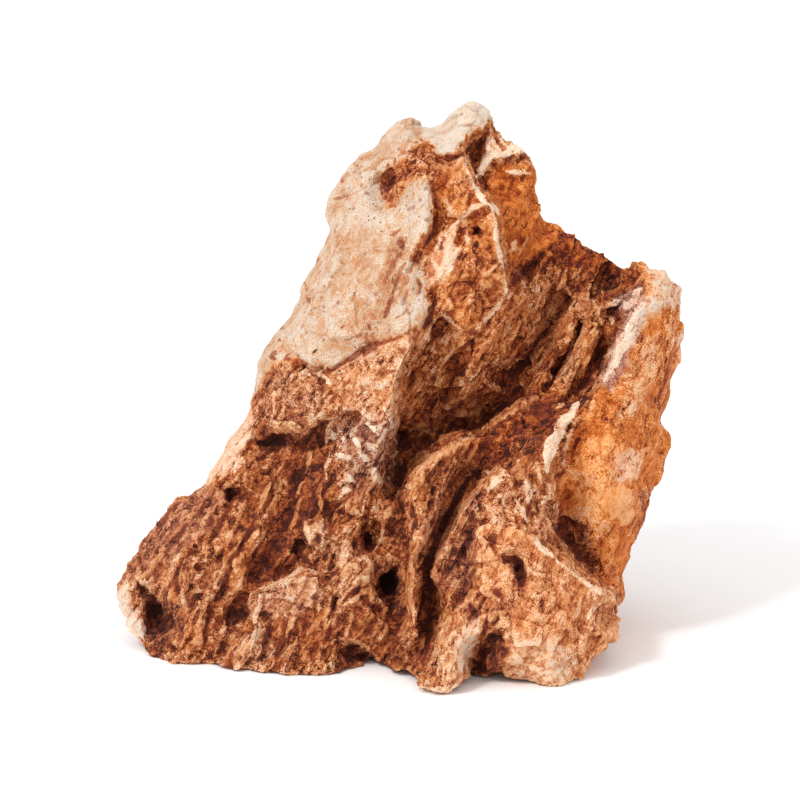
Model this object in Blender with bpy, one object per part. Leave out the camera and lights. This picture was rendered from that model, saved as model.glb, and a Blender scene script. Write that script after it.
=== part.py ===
"""Rough rock: one broken lump of vein quartz grown through rusty, steeply layered ironstone.

The lump is drawn as two reliefs on the plane of the picture, the side that faces the viewer and the
side that faces away. They share the outline. The solid between them is tipped back by the viewer's
downward look, roughened along its layers, and cut flat where it rests on the ground.
Run with: blender --background --python part.py
"""

import math

import bmesh
import bpy
import numpy as np
from mathutils import Matrix, Vector, noise
from mathutils.geometry import delaunay_2d_cdt

MM = 0.001

# Driving dimensions of the rock, in metres and radians.
ROCK_WIDTH = 0.180
VIEW_DISTANCE = 1.20
VIEW_TILT = math.radians(12)
GROUND_DROP = 76.6 * MM
FOOTPRINT_SHIFT = (-0.4 * MM, -1.2 * MM)

# The picture is 800 x 800 pixels. The rock spans this many of them.
PICTURE_CENTRE = 400
WIDTH_IN_PIXELS = 574
PIXEL = ROCK_WIDTH / WIDTH_IN_PIXELS

# How finely the solid is worked, and how many triangles it keeps.
SAMPLE_STEP = 4.0
VOXEL = 0.95 * MM
KEPT_TRIANGLES = 9100

# Layers of the rock run up to the right in the picture. This is their direction there.
LAYER_ANGLE = math.radians(61)
LAYER_PITCH = 7.5 * MM
LAYER_RELIEF = 1.5 * MM
LUMP_PITCH = 16 * MM
LUMP_RELIEF = 1.1 * MM

# Every point below is (pixel across, pixel down, millimetres towards the viewer).

# The rock's outline, clockwise from its summit.
OUTLINE = [
    (475, 102, -14), (487, 105, -15), (493, 114, -17),
    (494, 123, -18), (502, 132, -20), (513, 141, -20),
    (524, 150, -20), (533, 158, -21), (539, 170, -22),
    (537, 184, -23), (540, 198, -24), (547, 211, -25),
    (557, 221, -26), (566, 226, -27), (579, 229, -28),
    (587, 234, -28), (589, 242, -28), (597, 241, -28),
    (603, 249, -28), (613, 253, -27), (622, 261, -26),
    (636, 261, -20), (648, 268, -14), (664, 270, -12),
    (677, 276, -14), (685, 286, -18), (686, 300, -20),
    (684, 313, -21), (686, 328, -22), (684, 348, -24),
    (680, 366, -26), (674, 378, -27), (671, 398, -28),
    (669, 408, -28), (664, 418, -27), (670, 430, -27),
    (674, 443, -27), (668, 459, -26), (664, 477, -26),
    (655, 490, -26), (650, 507, -26), (647, 523, -26),
    (640, 536, -24), (634, 545, -20), (634, 557, -18), (625, 572, -14), (624, 598, -8), (617, 608, 0),
    (621, 616, 16), (620, 630, 20), (622, 641, 22), (620, 652, 24), (607, 656, 26), (598, 652, 28),
    (592, 657, 30), (587, 669, 32), (583, 683, 34), (570, 688, 38), (553, 689, 40), (530, 684, 38),
    (518, 681, 36), (500, 680, 34), (481, 681, 32), (466, 680, 40), (461, 686, 46), (445, 694, 50),
    (430, 697, 52), (421, 691, 50), (414, 685, 46), (411, 674, 40), (404, 678, 34), (398, 674, 32),
    (385, 673, 30), (360, 676, 30), (343, 679, 30), (320, 679, 30), (285, 680, 30), (262, 677, 28),
    (240, 676, 27), (222, 672, 24), (207, 668, 20), (190, 666, 18), (165, 667, 16), (150, 661, 12),
    (140, 655, 8), (135, 645, 4), (122, 634, -2), (119, 625, -4), (121, 617, -5), (115, 605, -8),
    (117, 597, -9), (112, 591, -10), (115, 583, -12), (120, 579, -12), (120, 571, -14), (125, 561, -16),
    (134, 552, -18), (141, 539, -20), (148, 529, -21),
    (156, 517, -22), (166, 506, -22), (177, 497, -22),
    (190, 490, -22), (200, 479, -22), (201, 470, -22),
    (211, 459, -22), (226, 441, -22), (238, 425, -22),
    (246, 411, -22), (251, 394, -22), (254, 379, -22),
    (253, 362, -22), (258, 348, -22), (271, 335, -22),
    (286, 321, -22), (293, 311, -22), (297, 298, -22),
    (301, 280, -22), (312, 265, -22), (313, 256, -22),
    (321, 249, -22), (324, 232, -22), (322, 214, -22),
    (327, 203, -22), (331, 191, -22), (341, 175, -22),
    (351, 164, -22), (362, 156, -22), (376, 147, -21),
    (389, 131, -20), (400, 120, -19), (406, 117, -18),
    (414, 121, -18), (421, 127, -19), (432, 127, -19),
    (444, 120, -17), (456, 109, -15), (466, 104, -14),
]

# Crests, edges and furrows of the side that faces the viewer. Facets span between these lines.
FRONT_LINES = {
    "slab_left_shoulder": [
        (405, 135, -9), (385, 160, -8), (362, 182, -8), (346, 212, -8), (340, 245, -7), (316, 295, -6),
        (290, 338, -6), (274, 362, -7),
    ],
    "slab_right_edge": [
        (424, 182, 10), (430, 192, 11), (429, 215, 12), (426, 236, 13), (414, 252, 13), (404, 272, 14),
        (421, 300, 15), (426, 312, 15), (414, 331, 16), (398, 346, 17),
    ],
    "slab_scarp_foot": [
        (437, 193, 2), (437, 216, 3), (433, 240, 5), (424, 256, 8), (428, 282, 10), (436, 306, 10),
    ],
    "slab_lower_seam": [(376, 346, 8), (350, 358, 6), (322, 376, 4)],
    "apron_edge": [(414, 345, 17), (402, 368, 18), (396, 392, 18), (392, 418, 16), (384, 434, 14)],
    "arete": [
        (462, 156, 4), (470, 172, 6), (478, 192, 8), (490, 207, 10), (496, 222, 12), (498, 240, 12),
        (501, 262, 12), (505, 281, 9), (509, 292, 5),
    ],
    "arete_foot": [
        (474, 163, -20), (484, 186, -14), (500, 208, -12), (505, 235, -14), (509, 260, -15),
        (515, 284, -12),
    ],
    "summit_lip": [(484, 131, -9), (472, 134, -8), (466, 144, -8), (455, 152, -6), (440, 156, -4)],
    "summit_recess": [(484, 138, -19), (474, 146, -19), (466, 156, -12)],
    "vein_knob": [(488, 133, -15), (490, 150, -13), (485, 168, -12)],
    "vein_cross": [(502, 156, -14), (516, 152, -14), (530, 162, -16)],
    "valley_brow": [(530, 240, -18), (556, 238, -22), (580, 246, -24), (600, 262, -24)],
    "hollow": [(603, 276, -31), (612, 286, -30), (605, 292, -27)],
    "wall_inner_edge": [
        (640, 272, -8), (646, 290, -3), (630, 315, 2), (617, 340, 5), (612, 362, 7), (600, 382, 9),
        (590, 396, 12), (578, 412, 16), (562, 424, 20), (550, 446, 24), (545, 470, 27),
    ],
    "wall_inner_foot": [
        (628, 276, -22), (614, 312, -17), (606, 340, -15), (602, 362, -13), (588, 384, -8),
        (574, 402, -2),
    ],
    "fin_one": [(574, 316, -10), (566, 345, -9), (545, 370, -8), (528, 386, -7)],
    "fin_one_slot": [(556, 300, -23), (548, 326, -24), (528, 356, -24), (510, 380, -23)],
    "fin_two": [(590, 320, -9), (582, 352, -7), (570, 374, -2), (556, 388, 2)],
    "fin_two_slot": [(580, 326, -25), (570, 352, -24), (548, 386, -18)],
    "valley_hump": [(532, 292, -8), (512, 316, -3), (490, 340, 1), (478, 366, 2), (462, 384, 0)],
    "valley_left_furrow": [
        (436, 330, -2), (420, 352, -2), (412, 382, -4), (404, 412, -8), (400, 440, -16),
        (398, 476, -12),
    ],
    "lip": [
        (546, 400, 3), (520, 404, 8), (500, 422, 15), (480, 436, 21), (460, 441, 26), (440, 450, 30),
        (425, 462, 33), (412, 480, 35), (408, 497, 36), (414, 512, 37), (417, 532, 38), (412, 556, 38),
        (412, 590, 38), (413, 630, 39),
    ],
    "lip_foot": [
        (538, 391, -8), (514, 397, -16), (497, 411, -22), (479, 427, -22),
        (458, 433, -22), (436, 443, -20), (420, 454, -18),
        (406, 474, -14), (401, 498, -2), (405, 520, 8), (406, 560, 12), (405, 600, 14),
    ],
    "tongue_gully": [
        (500, 456, 14), (478, 474, 14), (462, 500, 14), (446, 530, 14), (428, 566, 16), (424, 600, 20),
        (428, 650, 30),
    ],
    "middle_plate_edge": [
        (500, 471, 30), (482, 480, 33), (466, 504, 35), (452, 530, 36), (438, 558, 36), (434, 580, 36),
        (446, 600, 36), (450, 620, 42), (438, 648, 48),
    ],
    "crack_to_wall": [
        (568, 446, 10), (566, 480, 9), (560, 512, 6), (564, 538, 3), (582, 561, 3), (602, 582, 2),
    ],
    "front_plate_crest": [
        (476, 520, 38), (500, 527, 42), (524, 530, 42), (540, 546, 41), (562, 560, 38), (584, 578, 35),
        (612, 598, 28),
    ],
    "front_plate_left": [(476, 545, 42), (482, 580, 46), (478, 610, 44), (480, 634, 44)],
    "nose_crest": [(462, 612, 44), (452, 645, 49), (444, 670, 53)],
    "nose_right_foot": [(482, 648, 26), (474, 662, 27), (472, 674, 30)],
    "boulder_ledge": [(274, 398, 0), (272, 424, 3), (300, 430, 6), (322, 418, 9), (330, 398, 9)],
    "boulder_ledge_foot": [(262, 440, -11), (296, 440, -7), (326, 430, -1)],
    "step_ledge": [(258, 592, 15), (284, 583, 18), (304, 572, 19), (330, 570, 19), (352, 562, 19)],
    "step_ledge_foot": [(254, 580, 5), (280, 572, 6), (304, 560, 8), (330, 556, 9)],
    "low_left_rib": [(186, 574, 14), (180, 600, 15), (184, 640, 18)],
    "tip_rim": [(134, 582, -1), (142, 606, 1), (134, 624, 2), (142, 642, 5)],
}

# Single points on the side that faces the viewer.
FRONT_POINTS = [
    (372, 220, 2), (366, 265, 5), (346, 306, 6), (322, 340, 6),
    (392, 248, 8), (402, 214, 6), (386, 300, 10),
    (300, 360, -1), (356, 336, 9), (415, 150, -4), (395, 168, -3), (428, 146, -5), (440, 136, -8),
    (392, 184, -10), (390, 196, -7), (415, 170, 0), (406, 192, 3), (436, 168, 0), (452, 166, 2),
    (452, 188, 4), (456, 210, 7), (446, 248, 9), (470, 228, 7),
    (480, 250, 9), (456, 284, 9), (480, 292, 9),
    (466, 320, 8), (450, 310, 9), (480, 205, 8), (470, 118, -7),
    (450, 128, -8), (430, 136, -9), (486, 120, -11),
    (508, 146, -15), (516, 172, -15), (530, 172, -17),
    (500, 186, -16), (522, 196, -16), (512, 220, -14),
    (530, 214, -18), (522, 246, -17), (538, 262, -20),
    (566, 262, -23), (586, 276, -23), (548, 282, -16),
    (570, 296, -15), (590, 300, -15), (620, 296, -16), (496, 302, 1), (520, 334, -6), (504, 358, -6),
    (486, 388, -5), (470, 408, -12), (436, 420, -14), (430, 394, -6), (440, 366, -2), (456, 344, 3),
    (370, 384, 15), (344, 378, 9), (384, 408, 16), (362, 410, 13), (374, 358, 15), (400, 330, 16),
    (660, 296, -3), (668, 330, -7), (648, 340, 0), (662, 372, -7), (634, 392, 6), (656, 420, -5),
    (612, 434, 13), (640, 456, 3), (596, 470, 15), (606, 510, 13), (632, 500, 6), (642, 506, -4),
    (616, 545, 5), (590, 536, 9), (606, 572, 3), (632, 540, -8), (660, 458, -14), (668, 352, -12),
    (530, 422, 12), (530, 446, 20), (508, 436, 14), (490, 450, 18), (468, 462, 25), (448, 470, 28),
    (434, 490, 31), (444, 502, 28), (428, 520, 33), (424, 545, 34), (420, 575, 32), (418, 620, 34),
    (516, 480, 33), (504, 504, 37), (484, 502, 36), (530, 500, 33), (548, 492, 27), (545, 515, 26),
    (470, 545, 36), (460, 572, 36), (468, 594, 40), (505, 556, 44), (500, 590, 47), (532, 572, 44),
    (552, 604, 43), (584, 610, 37), (604, 628, 32), (504, 630, 47), (540, 640, 46), (574, 652, 41),
    (496, 660, 44), (524, 666, 45), (556, 672, 43), (596, 640, 34), (440, 682, 52), (456, 672, 50),
    (286, 385, -2), (306, 384, 3), (320, 388, 6), (256, 404, -10), (248, 436, -10), (232, 456, -9),
    (270, 458, -5), (302, 456, -1), (340, 440, 5), (366, 438, 9),
    (350, 476, 8), (376, 476, 6), (384, 500, 2),
    (216, 484, -8), (242, 484, -1), (231, 498, -8), (262, 506, 5),
    (304, 498, 3), (332, 508, 5), (362, 516, 8),
    (186, 518, -9), (212, 530, 3), (244, 540, 8), (284, 536, 4),
    (314, 540, 9), (342, 538, 12), (368, 544, 4),
    (388, 556, 8), (152, 558, -7), (172, 580, 4), (210, 584, 11), (236, 582, 11), (270, 560, 7),
    (152, 598, -6), (162, 616, -7), (166, 650, 10), (158, 634, 1), (196, 620, 15), (204, 648, 17),
    (282, 612, 20), (318, 600, 21), (344, 616, 22), (368, 586, 19), (304, 640, 26), (338, 644, 24),
    (382, 634, 23), (240, 640, 20), (234, 618, 11), (220, 656, 20), (268, 658, 26), (388, 586, 5),
    (396, 604, 12), (394, 640, 20), (402, 658, 24), (362, 658, 17), (378, 664, 20), (176, 546, -2),
]

# Crests and edges of the side that faces away.
BACK_LINES = {
    "near_block_edge": [
        (446, 150, -38), (420, 230, -56), (386, 330, -66), (356, 420, -71), (334, 500, -71),
        (318, 560, -67),
    ],
    "near_block_foot": [
        (459, 160, -34), (439, 236, -46), (407, 336, -54), (377, 426, -58), (355, 506, -59),
        (339, 566, -58),
    ],
    "far_block_edge": [
        (532, 236, -40), (510, 320, -58), (484, 400, -69), (462, 480, -73), (446, 560, -69),
    ],
    "far_block_foot": [
        (548, 240, -34), (532, 326, -46), (507, 406, -55), (486, 486, -59), (470, 566, -60),
    ],
    "left_slope_break": [
        (342, 250, -38), (320, 330, -49), (288, 400, -54), (256, 470, -51), (216, 540, -45),
        (186, 590, -37),
    ],
    "right_slope_break": [
        (602, 284, -42), (618, 350, -51), (608, 430, -56), (592, 510, -56), (578, 572, -53),
    ],
    "cross_step_edge": [(404, 384, -64), (424, 392, -64), (452, 386, -66)],
    "cross_step_foot": [(410, 366, -56), (430, 375, -55), (458, 368, -58)],
    "low_chip_edge": [(236, 552, -52), (262, 580, -58), (296, 588, -60)],
    "low_chip_foot": [(232, 570, -40), (256, 596, -46), (292, 604, -50)],
}

BACK_POINTS = [
    (400, 150, -31), (372, 190, -31), (388, 222, -44),
    (352, 300, -56), (330, 380, -62), (306, 460, -62),
    (282, 520, -58), (640, 310, -40), (650, 380, -43),
    (642, 450, -44), (624, 520, -42), (604, 590, -40),
    (220, 590, -40), (160, 590, -26), (234, 490, -40),
    (296, 320, -34), (500, 150, -31), (470, 118, -29),
    (628, 280, -36), (662, 300, -31), (470, 250, -48),
    (440, 320, -54), (420, 460, -60), (400, 540, -61),
    (540, 450, -58), (530, 540, -58), (560, 350, -52),
    (300, 560, -58), (500, 200, -38), (380, 590, -63),
]

# Narrow forms of the side that faces away, written as STROKES are.
BACK_STROKES = {
    "back_slot_one": ([(500, 470), (480, 520), (470, 556)], 9, 6),
    "back_slot_two": ([(584, 330), (572, 384), (548, 440)], 8, 5),
    "back_slot_three": ([(344, 380), (318, 440), (300, 486)], 8, 5),
    "back_rib_one": ([(420, 420), (404, 470), (386, 520)], 9, -5),
    "back_rib_two": ([(560, 470), (548, 510), (536, 556)], 9, -5),
    "back_rib_three": ([(636, 340), (630, 400), (616, 452)], 8, -4),
    "back_rib_four": ([(300, 350), (272, 410), (248, 462)], 8, -4),
    "back_rib_five": ([(480, 250), (462, 300), (452, 340)], 8, -4),
    "back_pit_one": ([(524, 372), (520, 388)], 10, 7),
    "back_pit_two": ([(262, 528), (250, 544)], 9, 6),
    "back_pit_three": ([(412, 570), (416, 586)], 11, 6),
    "back_pit_four": ([(390, 262), (384, 276)], 8, 5),
}

# The underside: (pixel across, millimetres towards the viewer, millimetres above the ground).
UNDERSIDE = [
    (170, -6, 0.2), (200, -24, -0.6), (240, -38, -0.8),
    (300, -50, -0.8), (370, -58, -0.8), (440, -62, -0.8),
    (510, -58, -0.8), (570, -48, -0.8), (604, -26, 0.4),
    (230, 6, -0.6), (270, 12, -0.8), (320, 14, -0.8),
    (370, 12, 0.8), (410, 30, -0.8), (430, 40, -0.8), (480, 20, 0.8), (530, 26, -0.8), (570, 20, -0.6),
    (590, 0, -0.6), (540, 0, -0.8), (480, -6, 1.2), (420, 0, -0.8), (350, -12, -0.8), (280, -14, -0.8),
    (230, -16, -0.4), (300, -34, 1.0), (380, -34, -0.8),
    (450, -34, -0.8), (520, -30, 0.8), (565, -22, -0.8),
]

# Strokes that cut or raise narrow forms: (path, width in pixels, millimetres raised at the line).
STROKES = {
    "slot_one": ([(560, 292), (552, 312), (534, 344), (512, 376)], 7, -5),
    "slot_two": ([(583, 314), (574, 342), (552, 378)], 7, -5),
    "slot_three": ([(604, 330), (598, 356), (580, 386)], 6, -4),
    "slot_four": ([(520, 330), (508, 352)], 5, -3),
    "slot_five": ([(458, 356), (452, 384), (444, 404)], 6, -5),
    "fin_three": ([(596, 318), (590, 350), (576, 384)], 5, 4),
    "fin_four": ([(540, 330), (522, 362), (500, 392)], 5, 3),
    "fin_five": ([(478, 368), (470, 388), (462, 404)], 7, 4),
    "rib_low_one": ([(322, 496), (319, 522), (322, 548)], 6, 3),
    "rib_low_two": ([(300, 640), (290, 660), (284, 676)], 6, 3),
    "rib_low_three": ([(262, 600), (254, 630), (244, 654)], 7, 3),
    "furrow_low_one": ([(300, 470), (290, 520), (262, 570)], 12, -4),
    "furrow_low_two": ([(238, 598), (246, 620), (232, 632)], 8, -4),
    "furrow_low_three": ([(334, 590), (344, 620), (336, 650)], 8, -3),
    "pit_plate": ([(514, 560), (517, 580)], 9, -8),
    "pit_arete": ([(472, 226), (480, 234)], 8, -6),
    "pit_slab": ([(388, 176), (392, 196)], 9, -5),
    "pit_left": ([(230, 492), (230, 504)], 8, -5),
    "pit_centre": ([(366, 534), (370, 550)], 9, -6),
    "pit_low": ([(382, 580), (392, 592)], 13, -7),
    "pit_foot": ([(346, 652), (372, 656)], 10, -6),
    "pit_cave": ([(398, 432), (402, 442)], 8, -7),
    "pit_tip": ([(156, 606), (166, 622)], 12, -4),
    "nick_slab": ([(402, 272), (396, 290)], 7, -3),
    "crust_rib": ([(444, 604), (456, 582), (466, 560)], 6, 3),
    "plate_gash": ([(476, 600), (492, 604), (500, 596)], 6, -3),
}


def spot(across, down, toward):
    """A point of the picture's frame, in metres: x right, y away from the viewer, z up the picture."""
    depth = toward * MM
    shrink = 1 - depth / VIEW_DISTANCE
    x = (across - PICTURE_CENTRE) * PIXEL * shrink
    z = (PICTURE_CENTRE - down) * PIXEL * shrink
    return x, -depth, z


def pixel_on_ground(across, toward, lift):
    """The outline point that lies this many millimetres above the ground at that depth."""
    depth = toward * MM
    up = (lift * MM - GROUND_DROP - depth * math.sin(VIEW_TILT)) / math.cos(VIEW_TILT)
    down = PICTURE_CENTRE - up / (PIXEL * (1 - depth / VIEW_DISTANCE))
    return across, down, toward


def gentle(x):
    """A ramp from 0 to 1 with soft ends."""
    x = np.clip(x, 0, 1)
    return x * x * (3 - 2 * x)


def along(path, places):
    """Distance in pixels from each place to the path, and its nearest point's share of the way along."""
    points = np.array(path, float)
    steps = points[1:] - points[:-1]
    lengths = np.hypot(*steps.T)
    nearest = np.full(len(places), 1e9)
    share = np.zeros(len(places))
    travelled = 0.0
    for start, step, length in zip(points, steps, lengths):
        part = np.clip((places - start) @ step / length**2, 0, 1)
        away = np.hypot(*(places - start - part[:, None] * step).T)
        closer = away < nearest
        nearest[closer] = away[closer]
        share[closer] = (travelled + part[closer] * length) / lengths.sum()
        travelled += length
    return nearest, share


def carve(places, depth, strokes):
    """The relief with every narrow stroke added, each fading out at its ends."""
    for path, width, raised in strokes.values():
        distance, share = along(path, places)
        ends = gentle(share / 0.15 + 0.35) * gentle((1 - share) / 0.15 + 0.35)
        depth = depth + raised * ends * gentle(1 - distance / width)
    return depth


def facets(lines, points):
    """Triangles spanned inside the outline between the lines and the points given."""
    spots = list(OUTLINE)
    creases = []
    for line in lines.values():
        first = len(spots)
        spots += line
        creases += [(first + i, first + i + 1) for i in range(len(line) - 1)]
    spots += points
    flat = [Vector(p[:2]) for p in spots]
    border = list(range(len(OUTLINE)))
    made = delaunay_2d_cdt(flat, creases, [border], 1, 1e-4)
    corners, faces, origins = made[0], made[2], made[3]
    stray = [tuple(c) for c, o in zip(corners, origins) if not o]
    if stray:
        raise ValueError(f"lines cross at {stray}")
    depth = np.array([spots[o[0]][2] for o in origins], float)
    return np.array([tuple(c) for c in corners]), np.array(faces), depth


def depth_at(places, surface):
    """Millimetres towards the viewer at each place, read off the facets."""
    corners, faces, depth = surface
    found = np.full(len(places), np.nan)
    for a, b, c in faces:
        pa, pb, pc = corners[a], corners[b], corners[c]
        size = (pb[0] - pa[0]) * (pc[1] - pa[1]) - (pc[0] - pa[0]) * (pb[1] - pa[1])
        if abs(size) < 1e-9:
            continue
        x, y = (places - pa).T
        v = (x * (pc[1] - pa[1]) - y * (pc[0] - pa[0])) / size
        w = (y * (pb[0] - pa[0]) - x * (pb[1] - pa[1])) / size
        inside = (v >= -1e-6) & (w >= -1e-6) & (v + w <= 1 + 1e-6)
        found[inside] = (depth[a] + v * (depth[b] - depth[a]) + w * (depth[c] - depth[a]))[inside]
    return found


def places_inside():
    """A honeycomb of places within the outline, none of them close to it."""
    rim = np.array(OUTLINE)[:, :2]
    row_step = SAMPLE_STEP * math.sqrt(3) / 2
    grid = []
    for row, down in enumerate(np.arange(rim[:, 1].min(), rim[:, 1].max(), row_step)):
        shift = (row % 2) * SAMPLE_STEP / 2
        start = rim[:, 0].min() + shift
        grid += [(across, down) for across in np.arange(start, rim[:, 0].max(), SAMPLE_STEP)]
    grid = np.array(grid)
    distance, _ = along(np.vstack([rim, rim[:1]]), grid)
    return grid[distance > SAMPLE_STEP * 0.6]


def two_sided_block():
    """A closed mesh in the picture's frame: the near and far reliefs and their shared outline."""
    near = facets(FRONT_LINES, FRONT_POINTS)
    far = facets(BACK_LINES, BACK_POINTS + [pixel_on_ground(*p) for p in UNDERSIDE])
    grid = places_inside()
    near_depth = depth_at(grid, near)
    grid = grid[~np.isnan(near_depth)]
    near_depth = carve(grid, near_depth[~np.isnan(near_depth)], STROKES)
    far_depth = carve(grid, depth_at(grid, far), BACK_STROKES)
    rim_count = len(OUTLINE)
    flat = [Vector(p[:2]) for p in OUTLINE] + [Vector(p) for p in grid]
    made = delaunay_2d_cdt(flat, [], [list(range(rim_count))], 1, 1e-4)
    origins = [o[0] for o in made[3]]
    mesh = bmesh.new()
    rim = [mesh.verts.new(spot(*p)) for p in OUTLINE]
    near_verts = rim + [mesh.verts.new(spot(*p, d)) for p, d in zip(grid, near_depth)]
    far_verts = rim + [mesh.verts.new(spot(*p, d)) for p, d in zip(grid, far_depth)]
    for corner in made[2]:
        a, b, c = (origins[i] for i in corner)
        mesh.faces.new((near_verts[a], near_verts[b], near_verts[c]))
        if min(a, b, c) < rim_count and max(a, b, c) < rim_count:
            continue
        mesh.faces.new((far_verts[c], far_verts[b], far_verts[a]))
    bmesh.ops.holes_fill(mesh, edges=[e for e in mesh.edges if e.is_boundary])
    bmesh.ops.recalc_face_normals(mesh, faces=mesh.faces)
    block = bpy.data.meshes.new("block")
    mesh.to_mesh(block)
    mesh.free()
    return block


def applied(mesh, kind, **settings):
    """The mesh that one modifier makes of this one."""
    holder = bpy.data.objects.new("holder", mesh)
    bpy.context.scene.collection.objects.link(holder)
    modifier = holder.modifiers.new(kind.title(), kind)
    for name, value in settings.items():
        setattr(modifier, name, value)
    graph = bpy.context.evaluated_depsgraph_get()
    made = bpy.data.meshes.new_from_object(holder.evaluated_get(graph))
    bpy.data.objects.remove(holder)
    return made


def roughen(mesh):
    """Raises layers and lumps along the surface's own normals. The quartz slab stays smoother."""
    count = len(mesh.vertices)
    points = np.empty(count * 3, np.float32)
    normals = np.empty(count * 3, np.float32)
    mesh.vertices.foreach_get("co", points)
    mesh.vertex_normals.foreach_get("vector", normals)
    points = points.reshape(-1, 3).astype(float)
    normals = normals.reshape(-1, 3)
    along_layer = np.array([math.cos(LAYER_ANGLE), 0, math.sin(LAYER_ANGLE)])
    across_layer = np.array([math.sin(LAYER_ANGLE), 0.25, -math.cos(LAYER_ANGLE)])
    away = np.array([0, 1, 0])
    stretch = (5.0, 1.0, 2.6)
    axes = np.column_stack([along_layer, across_layer, away]) / LAYER_PITCH / np.array(stretch)
    layered = points @ axes
    lumpy = points / LUMP_PITCH
    shrink = 1 + points[:, 1] / VIEW_DISTANCE
    seen = np.column_stack([points[:, 0], -points[:, 2]]) / (PIXEL * shrink[:, None]) + PICTURE_CENTRE
    slab_line = [(400, 150), (372, 230), (350, 300), (315, 345)]
    smooth = gentle(1.6 - along(slab_line, seen)[0] / 42) * (points[:, 1] < 18 * MM)
    rough = 1 - 0.8 * smooth
    raised = np.empty(count)
    for i, (a, b) in enumerate(zip(layered, lumpy)):
        layer = noise.ridged_multi_fractal(Vector(a), 0.9, 2.1, 3, 1.0, 2.0) - 1.1
        lump = noise.fractal(Vector(b), 0.8, 2.2, 3)
        raised[i] = LAYER_RELIEF * layer * rough[i] + LUMP_RELIEF * lump * (0.4 + 0.6 * rough[i])
    mesh.vertices.foreach_set("co", (points + normals * raised[:, None]).astype(np.float32).ravel())
    return mesh


def stone_material():
    """Rusty, dull stone."""
    material = bpy.data.materials.new("rusty_stone")
    material.use_nodes = True
    surface = material.node_tree.nodes["Principled BSDF"]
    surface.inputs["Base Color"].default_value = (0.46, 0.2, 0.08, 1)
    surface.inputs["Roughness"].default_value = 0.9
    surface.inputs["Metallic"].default_value = 0
    return material


def ground_cutter():
    """A block whose top is the ground. It takes off whatever reaches below."""
    bpy.ops.mesh.primitive_cube_add(size=1, location=(0, 0, -0.05))
    cutter = bpy.context.object
    cutter.name = "ground_cutter"
    cutter.scale = (0.4, 0.4, 0.1)
    bpy.context.view_layer.update()
    cutter.data.transform(Matrix.Diagonal((*cutter.scale, 1)))
    cutter.scale = (1, 1, 1)
    cutter.hide_render = True
    cutter.display_type = "WIRE"
    return cutter


def main():
    for old in list(bpy.data.objects):
        bpy.data.objects.remove(old)
    worked = applied(two_sided_block(), "REMESH", mode="VOXEL", voxel_size=VOXEL, adaptivity=0)
    worked = roughen(worked)
    worked = applied(worked, "REMESH", mode="VOXEL", voxel_size=VOXEL, adaptivity=0)
    worked = applied(worked, "DECIMATE", ratio=KEPT_TRIANGLES / (2 * len(worked.polygons)))
    tip_back = Matrix.Rotation(-VIEW_TILT, 4, "X")
    place = Matrix.Translation((*FOOTPRINT_SHIFT, GROUND_DROP))
    worked.transform(place @ tip_back)
    worked.name = "rock"
    rock = bpy.data.objects.new("rock", worked)
    bpy.context.scene.collection.objects.link(rock)
    rock.data.materials.append(stone_material())
    rest = rock.modifiers.new("flat rest", "BOOLEAN")
    rest.operation = "DIFFERENCE"
    rest.solver = "EXACT"
    rest.object = ground_cutter()


main()
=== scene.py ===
# %% [markdown]
# # A rough rock: pale vein quartz grown through rusty, layered ironstone
# The stone is one solid lump. It was broken out of a vein, so one side is a smooth slab of quartz and
# the rest is ironstone whose layers stand steeply and have weathered out at different speeds.
# This lesson starts from a coarse solid of that lump. It carves the small forms, adds grain, and
# colours the surface by what each place is made of.

# %% Load the solid
import math

import bpy
import numpy as np
from mathutils import Matrix, Vector, noise


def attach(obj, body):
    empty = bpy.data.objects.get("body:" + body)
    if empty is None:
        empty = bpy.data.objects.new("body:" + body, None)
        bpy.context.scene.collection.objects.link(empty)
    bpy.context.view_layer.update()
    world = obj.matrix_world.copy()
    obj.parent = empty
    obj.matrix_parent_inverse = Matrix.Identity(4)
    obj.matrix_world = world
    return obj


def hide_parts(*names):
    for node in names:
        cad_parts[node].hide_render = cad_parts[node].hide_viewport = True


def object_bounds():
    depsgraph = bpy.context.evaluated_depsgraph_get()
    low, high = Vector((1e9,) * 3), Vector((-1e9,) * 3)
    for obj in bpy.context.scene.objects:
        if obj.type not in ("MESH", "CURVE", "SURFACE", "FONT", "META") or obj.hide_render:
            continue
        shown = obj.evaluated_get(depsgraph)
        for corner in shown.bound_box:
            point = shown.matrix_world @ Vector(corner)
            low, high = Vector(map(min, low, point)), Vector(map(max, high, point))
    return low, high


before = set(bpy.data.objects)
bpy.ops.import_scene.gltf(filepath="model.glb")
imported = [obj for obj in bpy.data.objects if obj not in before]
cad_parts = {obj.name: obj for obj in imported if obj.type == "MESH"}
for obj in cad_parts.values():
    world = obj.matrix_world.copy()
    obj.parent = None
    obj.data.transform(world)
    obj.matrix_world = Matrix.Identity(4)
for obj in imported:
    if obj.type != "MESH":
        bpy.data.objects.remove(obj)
CAD_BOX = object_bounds()
coarse_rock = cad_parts["rock"]
print("coarse rock:", len(coarse_rock.data.polygons), "faces")

# %% [markdown]
# ## The camera, and how a place is named
# The rock was drawn on the plane of the picture, 574 pixels across for 180 mm, seen from 1.2 m away and
# 12 degrees above. The camera uses the same numbers, so a form can be placed by where it is seen.
# `as_seen` turns points in space into pixels across, pixels down and millimetres towards the viewer.

# %% Camera
MM = 0.001
PICTURE = 800
PIXEL = 0.180 / 574
VIEW_DISTANCE = 1.20
VIEW_TILT = math.radians(12)
SENSOR = 36
# The plane of the picture: its middle's place, and its lean back from upright by the view's tilt.
PLACE = Matrix.Translation((-0.4 * MM, -1.2 * MM, 76.6 * MM)) @ Matrix.Rotation(-VIEW_TILT, 4, "X")

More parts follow.
